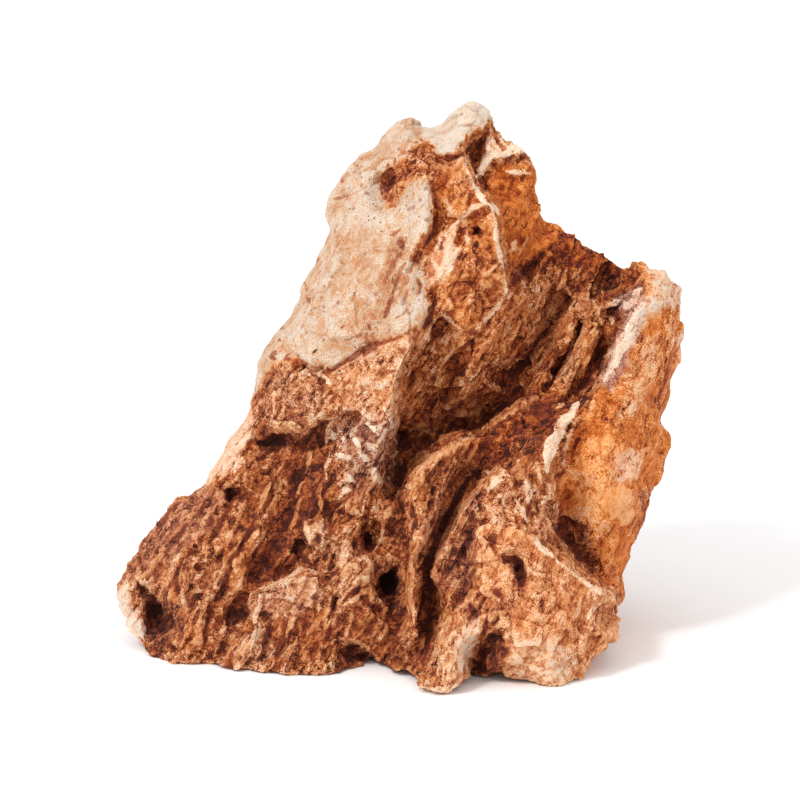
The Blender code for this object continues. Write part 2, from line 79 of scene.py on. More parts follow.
camera = bpy.data.objects.new("camera", bpy.data.cameras.new("camera"))
bpy.context.scene.collection.objects.link(camera)
bpy.context.scene.camera = camera
camera.data.sensor_width = SENSOR
camera.data.lens = SENSOR * VIEW_DISTANCE / (PICTURE * PIXEL)
camera.data.clip_start = 0.05
backed_off = Matrix.Translation((0, -VIEW_DISTANCE, 0)) @ Matrix.Rotation(math.radians(90), 4, "X")
camera.matrix_world = PLACE @ backed_off


def as_seen(points):
    """Pixels across, pixels down and millimetres towards the viewer, for an array of points."""
    flat = np.array(PLACE.inverted())
    local = points @ flat[:3, :3].T + flat[:3, 3]
    shrink = 1 + local[:, 1] / VIEW_DISTANCE
    across = PICTURE / 2 + local[:, 0] / (PIXEL * shrink)
    down = PICTURE / 2 - local[:, 2] / (PIXEL * shrink)
    return np.column_stack([across, down]), -local[:, 1] / MM


TO_VIEWER = np.array(PLACE.to_3x3() @ Vector((0, -1, 0)))
print("lens", round(camera.data.lens, 1), "mm")

# %% [markdown]
# ## Helpers for shaping a mesh
# The fine surface is made the way a sculptor works: rebuild the mesh in small even cells, push the
# points, and rebuild again. A modifier does each rebuild, and its result is taken as a new mesh.

# %% Mesh helpers
def applied(mesh, kind, **settings):
    """The mesh that one modifier makes of this one."""
    holder = bpy.data.objects.new("holder", mesh)
    bpy.context.scene.collection.objects.link(holder)
    modifier = holder.modifiers.new(kind.title(), kind)
    for name, value in settings.items():
        setattr(modifier, name, value)
    made = bpy.data.meshes.new_from_object(holder.evaluated_get(bpy.context.evaluated_depsgraph_get()))
    bpy.data.objects.remove(holder)
    return made


def points_of(mesh):
    """Positions and normals of a mesh's points, as two arrays."""
    places = np.empty(len(mesh.vertices) * 3, np.float32)
    normals = np.empty(len(mesh.vertices) * 3, np.float32)
    mesh.vertices.foreach_get("co", places)
    mesh.vertex_normals.foreach_get("vector", normals)
    return places.reshape(-1, 3).astype(float), normals.reshape(-1, 3).astype(float)


def move_to(mesh, places):
    """Puts the mesh's points at these places."""
    mesh.vertices.foreach_set("co", places.astype(np.float32).ravel())
    mesh.update()


def gentle(x):
    """A ramp from 0 to 1 with soft ends."""
    x = np.clip(x, 0, 1)
    return x * x * (3 - 2 * x)


# %% [markdown]
# ## Noise that knows the layers
# The ironstone's layers run up to the right, about 58 degrees in the picture, and dip a little into
# it. Noise is read in axes turned to them, and stretched 4 times along them, so that ridges, flakes and
# stains follow the layers as they do in the stone.

# %% Layer axes and noise
# Some noise functions draw on a random start that differs in each session, so it is set once.
NOISE_SEED = 1
noise.seed_set(NOISE_SEED)
LAYER_ANGLE = math.radians(58)
ALONG = np.array(PLACE.to_3x3() @ Vector((math.cos(LAYER_ANGLE), 0, math.sin(LAYER_ANGLE))))
ACROSS = np.array(PLACE.to_3x3() @ Vector((math.sin(LAYER_ANGLE), 0.3, -math.cos(LAYER_ANGLE))))
INWARD = np.cross(ALONG, ACROSS)
LAYER_AXES = np.column_stack([ALONG / 4, ACROSS, INWARD / 2.2])


def fractal(places, size, octaves=3, shift=0.0):
    """Fractal noise, about -1 to 1, whose lumps are this size in metres."""
    places = places / size + shift
    return np.array([noise.fractal(p, 0.8, 2.1, octaves) for p in map(Vector, places)])


def ridges(places, size, shift=0.0):
    """Sharp crests along the layers, about -1 to 1, this far apart in metres."""
    places = places @ LAYER_AXES / size + shift
    crest = [noise.ridged_multi_fractal(p, 0.9, 2.1, 2, 1.0, 2.0) for p in map(Vector, places)]
    return np.array(crest) - 1.1


def chips(places, size, shift=0.0):
    """Chips, about -1 to 1, with a lean each, and a crack round every one of them."""
    height = np.empty(len(places))
    for i, place in enumerate(map(Vector, places / size + shift)):
        place += 0.2 * noise.noise_vector(place * 1.3)
        away, centres = noise.voronoi(place)
        lean = noise.cell_vector(centres[0] * 9.7)
        height[i] = (place - centres[0]).dot(lean * 2 - Vector((1, 1, 1))) + 0.8 * lean.x - 0.4
        height[i] -= 0.3 * max(0.0, 1 - (away[1] - away[0]) / 0.14)
    return height


def flakes(places, size, layered, shift=0.0):
    """Chips, drawn out along the layers as far as the layers show there."""
    even = chips(places, size, shift)
    return even + layered * (chips(places @ LAYER_AXES, size / 1.6, shift) - even)


# %% [markdown]
# ## The parts of the stone
# Each patch of the stone has a name and an outline, and says what is there: how pale it is (tone, from
# black-brown 0 through rust and orange to cream 1), how grey and chalky, how fiery orange, how much it is
# bare quartz, how rough, how far its layers show, how strongly its colour varies, and how far it stands
# up or is sunk, in mm.
# Later patches lie over earlier ones. Outlines are loose, because noise makes their edges ragged.

# %% Ground, and the patches of the valley
GROUND = dict(tone=0.5, grey=0.0, fire=0.4, quartz=0.0, rough=1.0, layered=0.5, mottle=1.0, lift=0.0)
FRONT_PATCHES = {
    "valley": (16, dict(tone=0.41, fire=0.6, mottle=1.25, rough=1.15, layered=0.9), [
        (503, 258), (530, 236), (560, 226), (600, 246), (640, 258), (650, 285), (632, 300), (618, 340),
        (604, 376), (585, 398), (560, 412), (530, 405), (505, 415), (480, 430), (455, 440), (430, 445),
        (405, 440), (398, 420), (405, 390), (414, 350), (432, 320), (455, 332), (480, 325), (500, 305),
    ]),
    "valley_upper_orange": (14, dict(tone=0.56, fire=0.7, layered=0.6), [
        (512, 292), (530, 272), (552, 270), (550, 300), (530, 330), (508, 352), (486, 356), (480, 338),
        (500, 318),
    ]),
    "valley_fin_orange": (10, dict(tone=0.56, fire=0.7, layered=0.8), [
        (566, 300), (600, 300), (612, 320), (600, 350), (584, 372), (560, 395), (548, 392), (562, 352),
    ]),
    "valley_top": (14, dict(tone=0.29, fire=0.9, layered=0.5), [
        (506, 246), (540, 228), (570, 226), (600, 244), (640, 260), (620, 276), (580, 270), (540, 262),
        (512, 284),
    ]),
    "valley_left": (12, dict(tone=0.6, fire=0.6, layered=0.7), [
        (432, 322), (462, 332), (470, 350), (452, 372), (436, 392), (420, 380), (418, 350),
    ]),
    "valley_shoulder": (12, dict(tone=0.5, fire=0.6, mottle=1.2), [
        (404, 366), (430, 352), (440, 392), (424, 412), (400, 424), (396, 396),
    ]),
    "valley_lumps": (8, dict(tone=0.5, fire=0.5, lift=1.2), [
        (462, 372), (482, 372), (474, 392), (458, 404), (450, 396),
    ]),
    "cave": (16, dict(tone=0.42, fire=0.3, mottle=0.8, layered=0.4), [
        (400, 430), (425, 408), (452, 398), (478, 388), (500, 392), (516, 392), (506, 408), (484, 424),
        (456, 434), (430, 442), (412, 452), (404, 470), (394, 462),
    ]),
    "hollow": (8, dict(tone=0.34, fire=0.3, lift=-0.5), [
        (590, 274), (612, 272), (622, 282), (612, 292), (596, 292),
    ]),
}

# %% [markdown]
# ### The lower left
# This shoulder is the most weathered part: brown crust with lumps, small plates and ledges, dark soil in
# the hollows between them, and a run of white, chalky crust. Lumps get a lift and a paler tone, because
# what stands up is washed clean.

# %% Patches of the lower left
FRONT_PATCHES |= {
    "lower_left": (12, dict(tone=0.47, fire=0.35, grey=0.0, mottle=1.15, layered=0.65), [
        (262, 400), (290, 430), (330, 430), (360, 470), (380, 500), (372, 560), (392, 600), (400, 690),
        (100, 690), (100, 560), (180, 480), (240, 400),
    ]),
    "left_shoulder": (10, dict(tone=0.4, fire=0.3, grey=0.1, layered=0.3), [
        (176, 498), (200, 482), (232, 490), (226, 512), (196, 540), (160, 566), (128, 590), (118, 574),
        (146, 524),
    ]),
    "dark_soil": (14, dict(tone=0.28, fire=0.2, mottle=0.9, rough=0.8, lift=-0.8, layered=0.5), [
        (252, 428), (300, 440), (326, 412), (336, 440), (332, 490), (318, 530), (300, 560), (268, 580),
        (240, 566), (262, 520), (286, 486), (276, 452), (254, 448),
    ]),
    "soil_streak": (8, dict(tone=0.5, fire=0.3), [
        (262, 470), (292, 466), (284, 500), (262, 530), (244, 540), (244, 500),
    ]),
    "boulder": (8, dict(tone=0.46, grey=0.05, fire=0.1, mottle=1.3, lift=0.8, layered=0.15), [
        (262, 374), (290, 364), (316, 372), (330, 390), (330, 408), (312, 424), (296, 434), (272, 430),
        (266, 404),
    ]),
    "boulder_cheek": (8, dict(tone=0.38, fire=0.2), [
        (254, 376), (268, 368), (270, 400), (262, 436), (246, 450), (250, 410),
    ]),
    # Painted shadow: the crust under the boulder's overhang is darkened to stand in for the shade it casts.
    "shadow_under_boulder": (7, dict(tone=0.16, fire=0.0), [
        (256, 440), (284, 434), (298, 437), (290, 448), (262, 456),
    ]),
    "pale_flank": (8, dict(tone=0.8, grey=0.3, quartz=0.4, mottle=0.7, rough=0.4), [
        (194, 480), (215, 448), (240, 416), (250, 400), (256, 420), (244, 448), (232, 470), (216, 478),
        (206, 484),
    ]),
    "left_hollow": (9, dict(tone=0.28, fire=0.05, grey=0.05, lift=-0.6), [
        (138, 584), (150, 590), (170, 598), (184, 618), (178, 640), (160, 650), (144, 640), (138, 612),
    ]),
    "left_plate": (8, dict(tone=0.54, grey=0.05, fire=0.3, lift=1.2), [
        (136, 570), (160, 552), (180, 556), (186, 574), (166, 590), (150, 594), (140, 584),
    ]),
    "left_tip_rim": (6, dict(tone=0.84, grey=0.5, quartz=0.4, rough=0.5), [
        (112, 596), (126, 582), (132, 600), (136, 622), (146, 634), (138, 644), (122, 630), (110, 606),
    ]),
    "mid_lump": (10, dict(tone=0.54, grey=0.05, fire=0.3, lift=1.0), [
        (184, 580), (204, 562), (224, 562), (222, 590), (206, 606), (188, 612), (180, 600),
    ]),
    "foot_lump": (10, dict(tone=0.56, grey=0.1, fire=0.3, lift=0.8), [
        (240, 636), (262, 628), (274, 650), (262, 672), (238, 672), (232, 652),
    ]),
    "step_ledge": (8, dict(tone=0.56, grey=0.14, fire=0.2, mottle=1.1, lift=1.0, layered=0.3), [
        (256, 592), (276, 584), (300, 572), (318, 572), (322, 594), (312, 612), (290, 616), (266, 620),
        (250, 612),
    ]),
    "lower_brown": (12, dict(tone=0.46, fire=0.2, mottle=1.2), [
        (322, 560), (360, 540), (384, 556), (400, 600), (404, 660), (380, 676), (340, 660), (328, 620),
    ]),
    "lump_middle": (8, dict(tone=0.58, grey=0.1, fire=0.25, lift=1.4), [
        (306, 524), (324, 520), (332, 536), (346, 540), (350, 556), (332, 560), (312, 556),
    ]),
    "ledge_right": (8, dict(tone=0.58, grey=0.05, fire=0.3, lift=1.2), [
        (336, 572), (356, 560), (366, 552), (374, 570), (362, 584), (340, 598),
    ]),
    "chalk_ground": (14, dict(tone=0.52, grey=0.1, fire=0.3, mottle=1.3), [
        (334, 408), (372, 410), (396, 398), (400, 440), (392, 480), (370, 500), (344, 500), (338, 460),
    ]),
    "chalk": (12, dict(tone=0.5, grey=0.2, fire=0.0, mottle=1.5, lift=0.6, layered=0.2), [
        (338, 426), (362, 418), (384, 416), (392, 420), (386, 446), (384, 466), (366, 474), (354, 486),
        (344, 484), (352, 462), (340, 446),
    ]),
    "amber_middle": (10, dict(tone=0.56, fire=0.4, mottle=1.2), [
        (352, 492), (378, 480), (394, 494), (388, 520), (368, 520), (352, 512),
    ]),
    # Painted shade: the gully along the tongue's left side is darkened where it faces away from the lamp.
    "shade_by_tongue": (10, dict(tone=0.3, fire=0.15, mottle=1.1), [
        (388, 440), (402, 452), (408, 490), (404, 530), (406, 572), (396, 560), (388, 520), (396, 490),
        (386, 470),
    ]),
}

# %% [markdown]
# ### The rib and the quartz slab
# The slab is one face of the quartz vein. It is nearly smooth, so its patches mostly change the tone, for
# soft orange stains and greyer quartz. The rusty rib beside it is where the vein grew into the ironstone.

# %% Patches of the rib, the slab and the top
FRONT_PATCHES |= {
    "apron": (10, dict(
        tone=0.61, grey=0.05, fire=0.25, quartz=0.12, mottle=1.15, rough=0.7, layered=0.35,
    ), [
        (326, 374), (362, 351), (403, 333), (420, 326), (416, 345), (405, 365), (398, 390), (396, 412),
        (380, 422), (356, 414), (338, 404), (330, 390),
    ]),
    "arete_block": (8, dict(tone=0.56, fire=0.75, grey=0.0, mottle=0.9, rough=0.8, layered=0.25), [
        (432, 178), (450, 162), (470, 166), (482, 192), (497, 212), (501, 240), (506, 270), (509, 292),
        (500, 308), (480, 326), (455, 332), (432, 320), (428, 300), (424, 280), (416, 256), (430, 236),
        (434, 206),
    ]),
    "arete_rust": (9, dict(tone=0.5, fire=0.5), [
        (448, 258), (470, 240), (494, 250), (502, 280), (494, 300), (472, 310), (452, 302), (446, 280),
    ]),
    "arete_pale": (10, dict(tone=0.8, grey=0.15, quartz=0.2), [
        (418, 258), (432, 246), (448, 238), (458, 248), (452, 268), (440, 280), (428, 288), (420, 276),
    ]),
    "arete_cap": (7, dict(tone=0.66, fire=0.4, quartz=0.3, rough=0.6), [
        (450, 158), (463, 154), (474, 176), (482, 196), (470, 190), (452, 186), (446, 170),
    ]),
    "rust_plane": (9, dict(tone=0.54, fire=1.0, mottle=0.8, rough=0.5, layered=0.2), [
        (500, 164), (516, 160), (536, 168), (542, 200), (550, 215), (566, 228), (548, 250), (530, 262),
        (514, 268), (506, 250), (500, 220), (490, 196), (486, 178),
    ]),
    "summit_notch": (6, dict(tone=0.4, fire=0.4), [
        (474, 134), (486, 128), (488, 146), (480, 166), (472, 166), (466, 152),
    ]),
    "summit_right": (6, dict(tone=0.52, fire=0.5), [
        (492, 124), (504, 134), (514, 144), (504, 156), (496, 150),
    ]),
    "slab": (5, dict(tone=0.86, grey=0.1, fire=0.3, quartz=1.0, mottle=0.55, rough=0.15, layered=0.0), [
        (406, 108), (424, 122), (422, 142), (410, 152), (398, 160), (386, 170), (383, 188), (388, 204),
        (396, 204), (402, 192), (412, 180), (424, 176), (432, 180), (431, 205), (428, 232), (417, 246),
        (410, 256), (420, 264), (425, 282), (424, 298), (430, 311), (422, 325), (403, 333), (383, 341),
        (362, 351), (342, 363), (326, 374), (308, 366), (290, 360), (272, 362), (262, 386), (240, 410),
        (230, 360), (300, 240), (320, 170),
    ]),
    "slab_orange_one": (10, dict(tone=0.82), [
        (322, 232), (350, 224), (378, 230), (386, 246), (360, 258), (336, 252),
    ]),
    "slab_orange_two": (9, dict(tone=0.84), [(328, 196), (350, 190), (356, 206), (340, 218), (326, 212)]),
    "slab_orange_three": (9, dict(tone=0.83), [(374, 140), (392, 138), (392, 158), (376, 168), (362, 162)]),
    "slab_orange_four": (9, dict(tone=0.77), [(374, 290), (392, 286), (396, 308), (382, 326), (366, 318)]),
    "slab_orange_five": (9, dict(tone=0.84), [(330, 262), (356, 258), (362, 272), (346, 284), (330, 280)]),
    "slab_streaks": (8, dict(tone=0.66, rough=0.35, mottle=0.9), [
        (386, 258), (396, 240), (410, 236), (408, 256), (400, 280), (392, 306), (378, 318), (376, 292),
    ]),
    "slab_low_right": (10, dict(tone=0.74, mottle=0.8), [
        (350, 320), (376, 316), (386, 334), (364, 350), (344, 350),
    ]),
    "slab_grey_one": (9, dict(tone=0.93, grey=0.5), [
        (408, 190), (428, 186), (428, 214), (414, 232), (402, 224),
    ]),
    "slab_grey_two": (12, dict(tone=0.91, grey=0.3), [
        (352, 178), (378, 184), (386, 208), (376, 238), (354, 226), (346, 200),
    ]),
    "slab_grey_three": (8, dict(tone=0.92, grey=0.5), [
        (396, 298), (416, 288), (424, 300), (410, 324), (392, 322),
    ]),
    "slab_grey_four": (14, dict(tone=0.9, grey=0.3), [
        (296, 310), (330, 296), (344, 330), (318, 348), (290, 338),
    ]),
    "slab_recess": (7, dict(tone=0.34, fire=0.2, quartz=0.0, rough=0.8, mottle=1.2, lift=1.8), [
        (384, 174), (396, 170), (402, 176), (396, 190), (390, 200), (382, 196),
    ]),
    "stain_band": (9, dict(tone=0.42, fire=0.35, quartz=0.1, rough=0.7, mottle=1.3, layered=0.2), [
        (400, 156), (412, 144), (428, 150), (442, 158), (456, 152), (470, 146), (466, 158), (448, 164),
        (432, 168), (430, 178), (416, 174), (402, 176), (392, 172),
    ]),
    "summit": (5, dict(tone=1.02, grey=0.06, fire=0.3, quartz=0.9, rough=0.2, mottle=0.6, layered=0.0), [
        (416, 122), (428, 112), (475, 92), (498, 108), (494, 122), (480, 129), (469, 137), (456, 148),
        (442, 155), (428, 148), (422, 138),
    ]),
}

# %% [markdown]
# ### The orange wall
# The right side broke off along a fresh joint, so it is smoother and of a hotter orange than the
# weathered rest. Its top corner is cream, a greyish vein runs along its edge, and an oval scar is paler.

# %% Patches of the right wall
FRONT_PATCHES |= {
    "wall": (8, dict(tone=0.59, fire=1.0, grey=0.0, mottle=1.15, rough=0.3, layered=0.2), [
        (640, 258), (700, 270), (700, 330), (690, 400), (680, 440), (670, 490), (655, 524), (636, 560),
        (628, 600), (600, 580), (572, 548), (556, 520), (560, 480), (566, 444), (580, 415), (598, 392),
        (610, 365), (622, 335), (634, 310), (645, 290),
    ]),
    "wall_right_rust": (7, dict(tone=0.54, fire=0.7), [
        (664, 318), (676, 316), (682, 340), (674, 380), (668, 412), (656, 412), (660, 380), (668, 350),
    ]),
    "wall_top": (8, dict(tone=0.84, grey=0.1, fire=0.3, quartz=0.4, rough=0.35, layered=0.0), [
        (644, 262), (690, 266), (694, 306), (680, 314), (668, 306), (656, 312), (648, 330), (638, 344),
        (628, 348), (634, 320), (648, 300), (650, 280),
    ]),
    "wall_edge_chip": (5, dict(tone=0.82, grey=0.2, quartz=0.4), [
        (676, 340), (692, 326), (690, 360), (676, 366),
    ]),
    "wall_pale_middle": (9, dict(tone=0.68, grey=0.0, fire=0.5), [
        (640, 336), (658, 334), (660, 362), (650, 392), (636, 420), (620, 420), (622, 380),
    ]),
    "wall_grey": (8, dict(tone=0.7, grey=0.25, fire=0.6), [
        (616, 458), (634, 452), (644, 464), (638, 480), (622, 484),
    ]),
    "wall_oval": (3, dict(tone=0.79, grey=0.05, fire=0.6, rough=0.2, mottle=0.4, lift=1.0, layered=0.0), [
        (610, 490), (620, 485), (630, 490), (636, 502), (634, 516), (626, 524), (612, 522), (604, 508),
    ]),
    "wall_low_pale": (12, dict(tone=0.8, fire=1.0), [
        (574, 450), (606, 430), (624, 450), (620, 500), (600, 540), (580, 520), (566, 486),
    ]),
    "wall_vein_grey": (6, dict(grey=0.45), [
        (600, 384), (612, 350), (622, 318), (608, 300), (640, 286), (652, 300), (640, 330), (628, 356),
        (612, 388),
    ]),
    "plate_cream_low": (10, dict(tone=0.76, grey=0.2, fire=0.3), [
        (527, 640), (560, 628), (586, 640), (588, 672), (560, 684), (530, 680),
    ]),
    "wall_low_edge": (6, dict(tone=0.42, fire=0.4), [
        (640, 494), (654, 490), (650, 524), (636, 548), (632, 530), (638, 512),
    ]),
    "wall_bite": (9, dict(tone=0.4, fire=0.25, mottle=1.1, rough=0.9), [
        (546, 514), (562, 508), (584, 524), (596, 548), (600, 576), (588, 574), (566, 552), (552, 538),
    ]),
}

# %% [markdown]
# ### The lip, the plates and the foot
# Below the valley a curled lip leads to a dark tongue, and two crusty plates stand in front of the wall.
# The pits are sunk patches with a dark tone. The lip, the front plate and the foot have painted shade under
# them, as dark patches that are not sunk.

# %% Patches of the lip, the plates and the foot
FRONT_PATCHES |= {
    "lip_ridge": (8, dict(tone=0.27, fire=0.8, mottle=1.1, layered=0.3), [
        (470, 442), (492, 428), (520, 412), (548, 398), (570, 396), (580, 412), (566, 440), (548, 452),
        (520, 458), (496, 462), (478, 456),
    ]),
    "lip_shade": (7, dict(tone=0.26, fire=0.1), [
        (506, 446), (528, 432), (546, 434), (536, 450), (512, 458),
    ]),
    "tongue": (8, dict(tone=0.36, fire=0.2, mottle=0.9, layered=0.8), [
        (424, 476), (446, 456), (480, 450), (496, 462), (478, 484), (458, 512), (440, 544), (432, 574),
        (436, 610), (432, 650), (424, 680), (412, 670), (414, 600), (420, 540),
    ]),
    "tongue_rib": (5, dict(tone=0.5, fire=0.3, grey=0.1, lift=1.2), [
        (434, 500), (444, 492), (446, 504), (434, 530), (424, 552), (418, 548), (424, 520),
    ]),
    "middle_plate": (8, dict(tone=0.56, grey=0.05, fire=0.6, mottle=1.25, lift=0.8, layered=0.3), [
        (478, 486), (500, 470), (526, 474), (544, 490), (560, 506), (556, 530), (542, 542), (520, 530),
        (496, 526), (480, 520),
    ]),
    "middle_slope": (7, dict(tone=0.4, grey=0.08, fire=0.2, mottle=1.2, layered=0.6), [
        (478, 490), (480, 540), (476, 580), (462, 594), (440, 588), (434, 572), (446, 542), (462, 512),
    ]),
    "front_plate": (7, dict(tone=0.63, fire=0.6, grey=0.05, mottle=1.0, rough=0.6, layered=0.1), [
        (478, 522), (500, 524), (530, 532), (546, 548), (564, 562), (590, 580), (616, 596), (626, 630),
        (624, 660), (596, 660), (586, 692), (530, 692), (498, 688), (490, 672), (500, 645), (506, 630),
        (498, 606), (486, 596), (480, 570),
    ]),
    "front_plate_low": (10, dict(tone=0.8, fire=0.4, grey=0.1, quartz=0.2, layered=0.0), [
        (508, 636), (540, 640), (564, 644), (580, 650), (574, 676), (556, 690), (530, 686), (510, 668),
    ]),
    "front_plate_pit": (5, dict(tone=0.18, fire=0.05, lift=-1.0), [
        (512, 566), (518, 562), (524, 572), (520, 584), (510, 584),
    ]),
    "front_plate_side": (6, dict(tone=0.5, fire=0.4, grey=0.05), [
        (486, 596), (500, 602), (508, 590), (520, 588), (508, 616), (494, 626), (486, 640), (482, 620),
    ]),
    "nose": (7, dict(tone=0.6, fire=0.55, grey=0.08, mottle=1.15, layered=0.5), [
        (462, 600), (480, 594), (484, 620), (478, 640), (470, 668), (462, 688), (430, 700), (416, 690),
        (430, 668), (444, 636),
    ]),
    "nose_white": (5, dict(tone=0.88, grey=0.3, quartz=0.4, rough=0.3), [
        (464, 628), (478, 618), (474, 644), (466, 664), (458, 676), (456, 650),
    ]),
    # Painted shade: the stone under the front plate's overhang is darkened to stand in for its shadow.
    "shade_under_plate": (6, dict(tone=0.12, fire=0.05), [
        (480, 650), (492, 634), (502, 634), (506, 650), (498, 670), (482, 676), (474, 668),
    ]),
    "foot_shade": (6, dict(tone=0.22, fire=0.1), [
        (334, 660), (348, 648), (368, 646), (384, 660), (386, 670), (350, 672), (336, 672),
    ]),
    "dark_hole": (5, dict(tone=0.1, fire=0.0, lift=-2.0), [
        (380, 574), (394, 570), (402, 580), (396, 594), (384, 602), (376, 590),
    ]),
    "dark_hole_low": (6, dict(tone=0.2, fire=0.05, lift=-0.8), [
        (388, 600), (404, 596), (406, 616), (394, 622),
    ]),
    "left_pocket": (6, dict(tone=0.16, fire=0.05, lift=-1.4), [
        (230, 606), (244, 602), (248, 616), (236, 626), (226, 620),
    ]),
}

# %% [markdown]
# ## The side that faces away
# The back is the same stone, seen less often, so it gets few and wide patches: rust all over, the
# quartz slab carried through, a dark and an orange band, a pale vein and some chalk. They are placed by
# where they would be seen through the stone.

# %% Patches on the side that faces away
BACK_PATCHES = {
    "back_rust": (20, dict(tone=0.45, fire=0.35, layered=0.5), [
        (80, 80), (720, 80), (720, 720), (80, 720),
    ]),
    "back_quartz": (14, dict(
        tone=0.86, grey=0.2, fire=0.3, quartz=0.9, rough=0.3, mottle=0.7, layered=0.0,
    ), [
        (230, 400), (300, 240), (320, 160), (406, 100), (440, 110), (436, 160), (410, 240), (380, 330),
        (340, 420), (300, 470), (250, 460),
    ]),
    "back_summit": (8, dict(tone=0.92, quartz=0.9, rough=0.3, mottle=0.6), [
        (430, 90), (500, 90), (500, 130), (450, 150), (430, 130),
    ]),
    "back_dark_one": (16, dict(tone=0.3, fire=0.1), [
        (470, 280), (520, 260), (510, 400), (470, 520), (430, 560), (440, 420),
    ]),
    "back_band": (12, dict(tone=0.66, fire=0.5, grey=0.1), [
        (540, 260), (590, 290), (560, 420), (520, 560), (486, 600), (500, 440),
    ]),
    "back_pale_vein": (8, dict(tone=0.84, grey=0.3, quartz=0.5), [
        (612, 300), (634, 300), (620, 400), (596, 500), (580, 560), (580, 470), (600, 390),
    ]),
    "back_chalk": (14, dict(tone=0.74, grey=0.7, mottle=1.3), [
        (290, 500), (350, 470), (360, 540), (320, 600), (270, 590),
    ]),
    "back_corner": (10, dict(tone=0.84, grey=0.2, quartz=0.5, rough=0.4), [
        (650, 260), (700, 266), (696, 330), (670, 350), (654, 310),
    ]),
    "back_low_soil": (16, dict(tone=0.34, fire=0.15), [
        (150, 520), (240, 480), (290, 560), (260, 640), (140, 640),
    ]),
}

# %% [markdown]
# ## Narrow forms
# Veins, cracks, ribs and slots are drawn as strokes: a path, a width in pixels, a lift (1 stands up by
# 2 mm), and a tone. A white vein stands proud because quartz outlasts the ironstone round it. The
# first strokes are the web of veins on the rib and the crests of the thin fins in the valley.

# %% Pale strokes of the rib and the valley
PALE_STROKES = {
    "ridge_line": ([
        (462, 158), (470, 176), (480, 196), (489, 207), (495, 219), (496, 238), (500, 256), (504, 274),
        (507, 292),
    ], 3.6, 0.5, 0.95),
    "ridge_tail": ([(507, 292), (496, 309), (480, 325), (471, 336)], 3.0, 0.3, 0.86),
    "web_one": ([
        (488, 204), (472, 208), (461, 219), (452, 233), (446, 245), (449, 256), (442, 267), (434, 281),
    ], 5.0, 0.5, 0.86),
    "web_two": ([(458, 250), (451, 262), (447, 274), (440, 289)], 4.0, 0.4, 0.88),
    "web_three": ([(454, 226), (442, 236), (435, 250), (431, 262)], 3.2, 0.4, 0.88),
    "web_four": ([(431, 258), (440, 272), (438, 286)], 3.2, 0.3, 0.9),
    "web_spike": ([(484, 203), (494, 207), (498, 214)], 4.2, 0.5, 0.93),
    "web_low": ([(500, 262), (492, 270), (484, 274)], 2.5, 0.3, 0.76),
    "vein_left": ([(491, 126), (488, 142), (490, 156), (486, 168), (480, 180)], 3.6, 0.4, 0.95),
    "vein_left_thick": ([(476, 178), (483, 166), (490, 156), (500, 153), (508, 154)], 8.0, 0.5, 0.97),
    "vein_cross": ([(491, 130), (494, 144), (502, 156)], 2.6, 0.4, 0.88),
    "vein_wide": ([(504, 156), (512, 150), (520, 145), (530, 150)], 11.0, 0.5, 0.98),
    "vein_bar": ([(508, 171), (518, 172), (530, 174)], 5.5, 0.4, 0.96),
    "vein_edge": ([(526, 148), (534, 158), (539, 172)], 5.5, 0.3, 0.95),
    "web_five": ([(436, 308), (446, 316), (457, 327)], 3.0, 0.3, 0.86),
    "web_six": ([(462, 218), (468, 230), (466, 244), (456, 252)], 2.4, 0.3, 0.84),
    "web_seven": ([(444, 200), (452, 212), (460, 218)], 2.2, 0.2, 0.8),
    "web_eight": ([(470, 262), (478, 270), (492, 274)], 2.0, 0.2, 0.76),
    "vein_fine": ([(498, 134), (504, 144), (510, 150)], 2.6, 0.2, 0.9),
    "fin_upper": ([(566, 284), (556, 302), (545, 322), (530, 345)], 7.0, 1.2, 0.48),
    "fin_orange": ([(552, 286), (532, 298), (514, 312), (496, 336), (474, 362)], 5.0, 0.6, 0.5),
    "fin_middle": ([(573, 309), (564, 326), (552, 344), (540, 364)], 5.0, 0.5, 0.52),
    "fin_right": ([(590, 300), (586, 322), (580, 344), (568, 366)], 5.0, 0.3, 0.56),
    "chip_one": ([(512, 248), (516, 240)], 4.5, 0.4, 0.84),
    "chip_two": ([(520, 252), (528, 238)], 2.0, 0.2, 0.7),
    "chip_three": ([(505, 262), (503, 254), (512, 250)], 2.0, 0.2, 0.74),
}

# %% [markdown]
# ### Veins and edges on the right
# The wall's vein and the white streak are wide strokes, and the plates have small spurs and a pale crest.
# The lip and the nose get a rounded, paler edge, as wear leaves it.

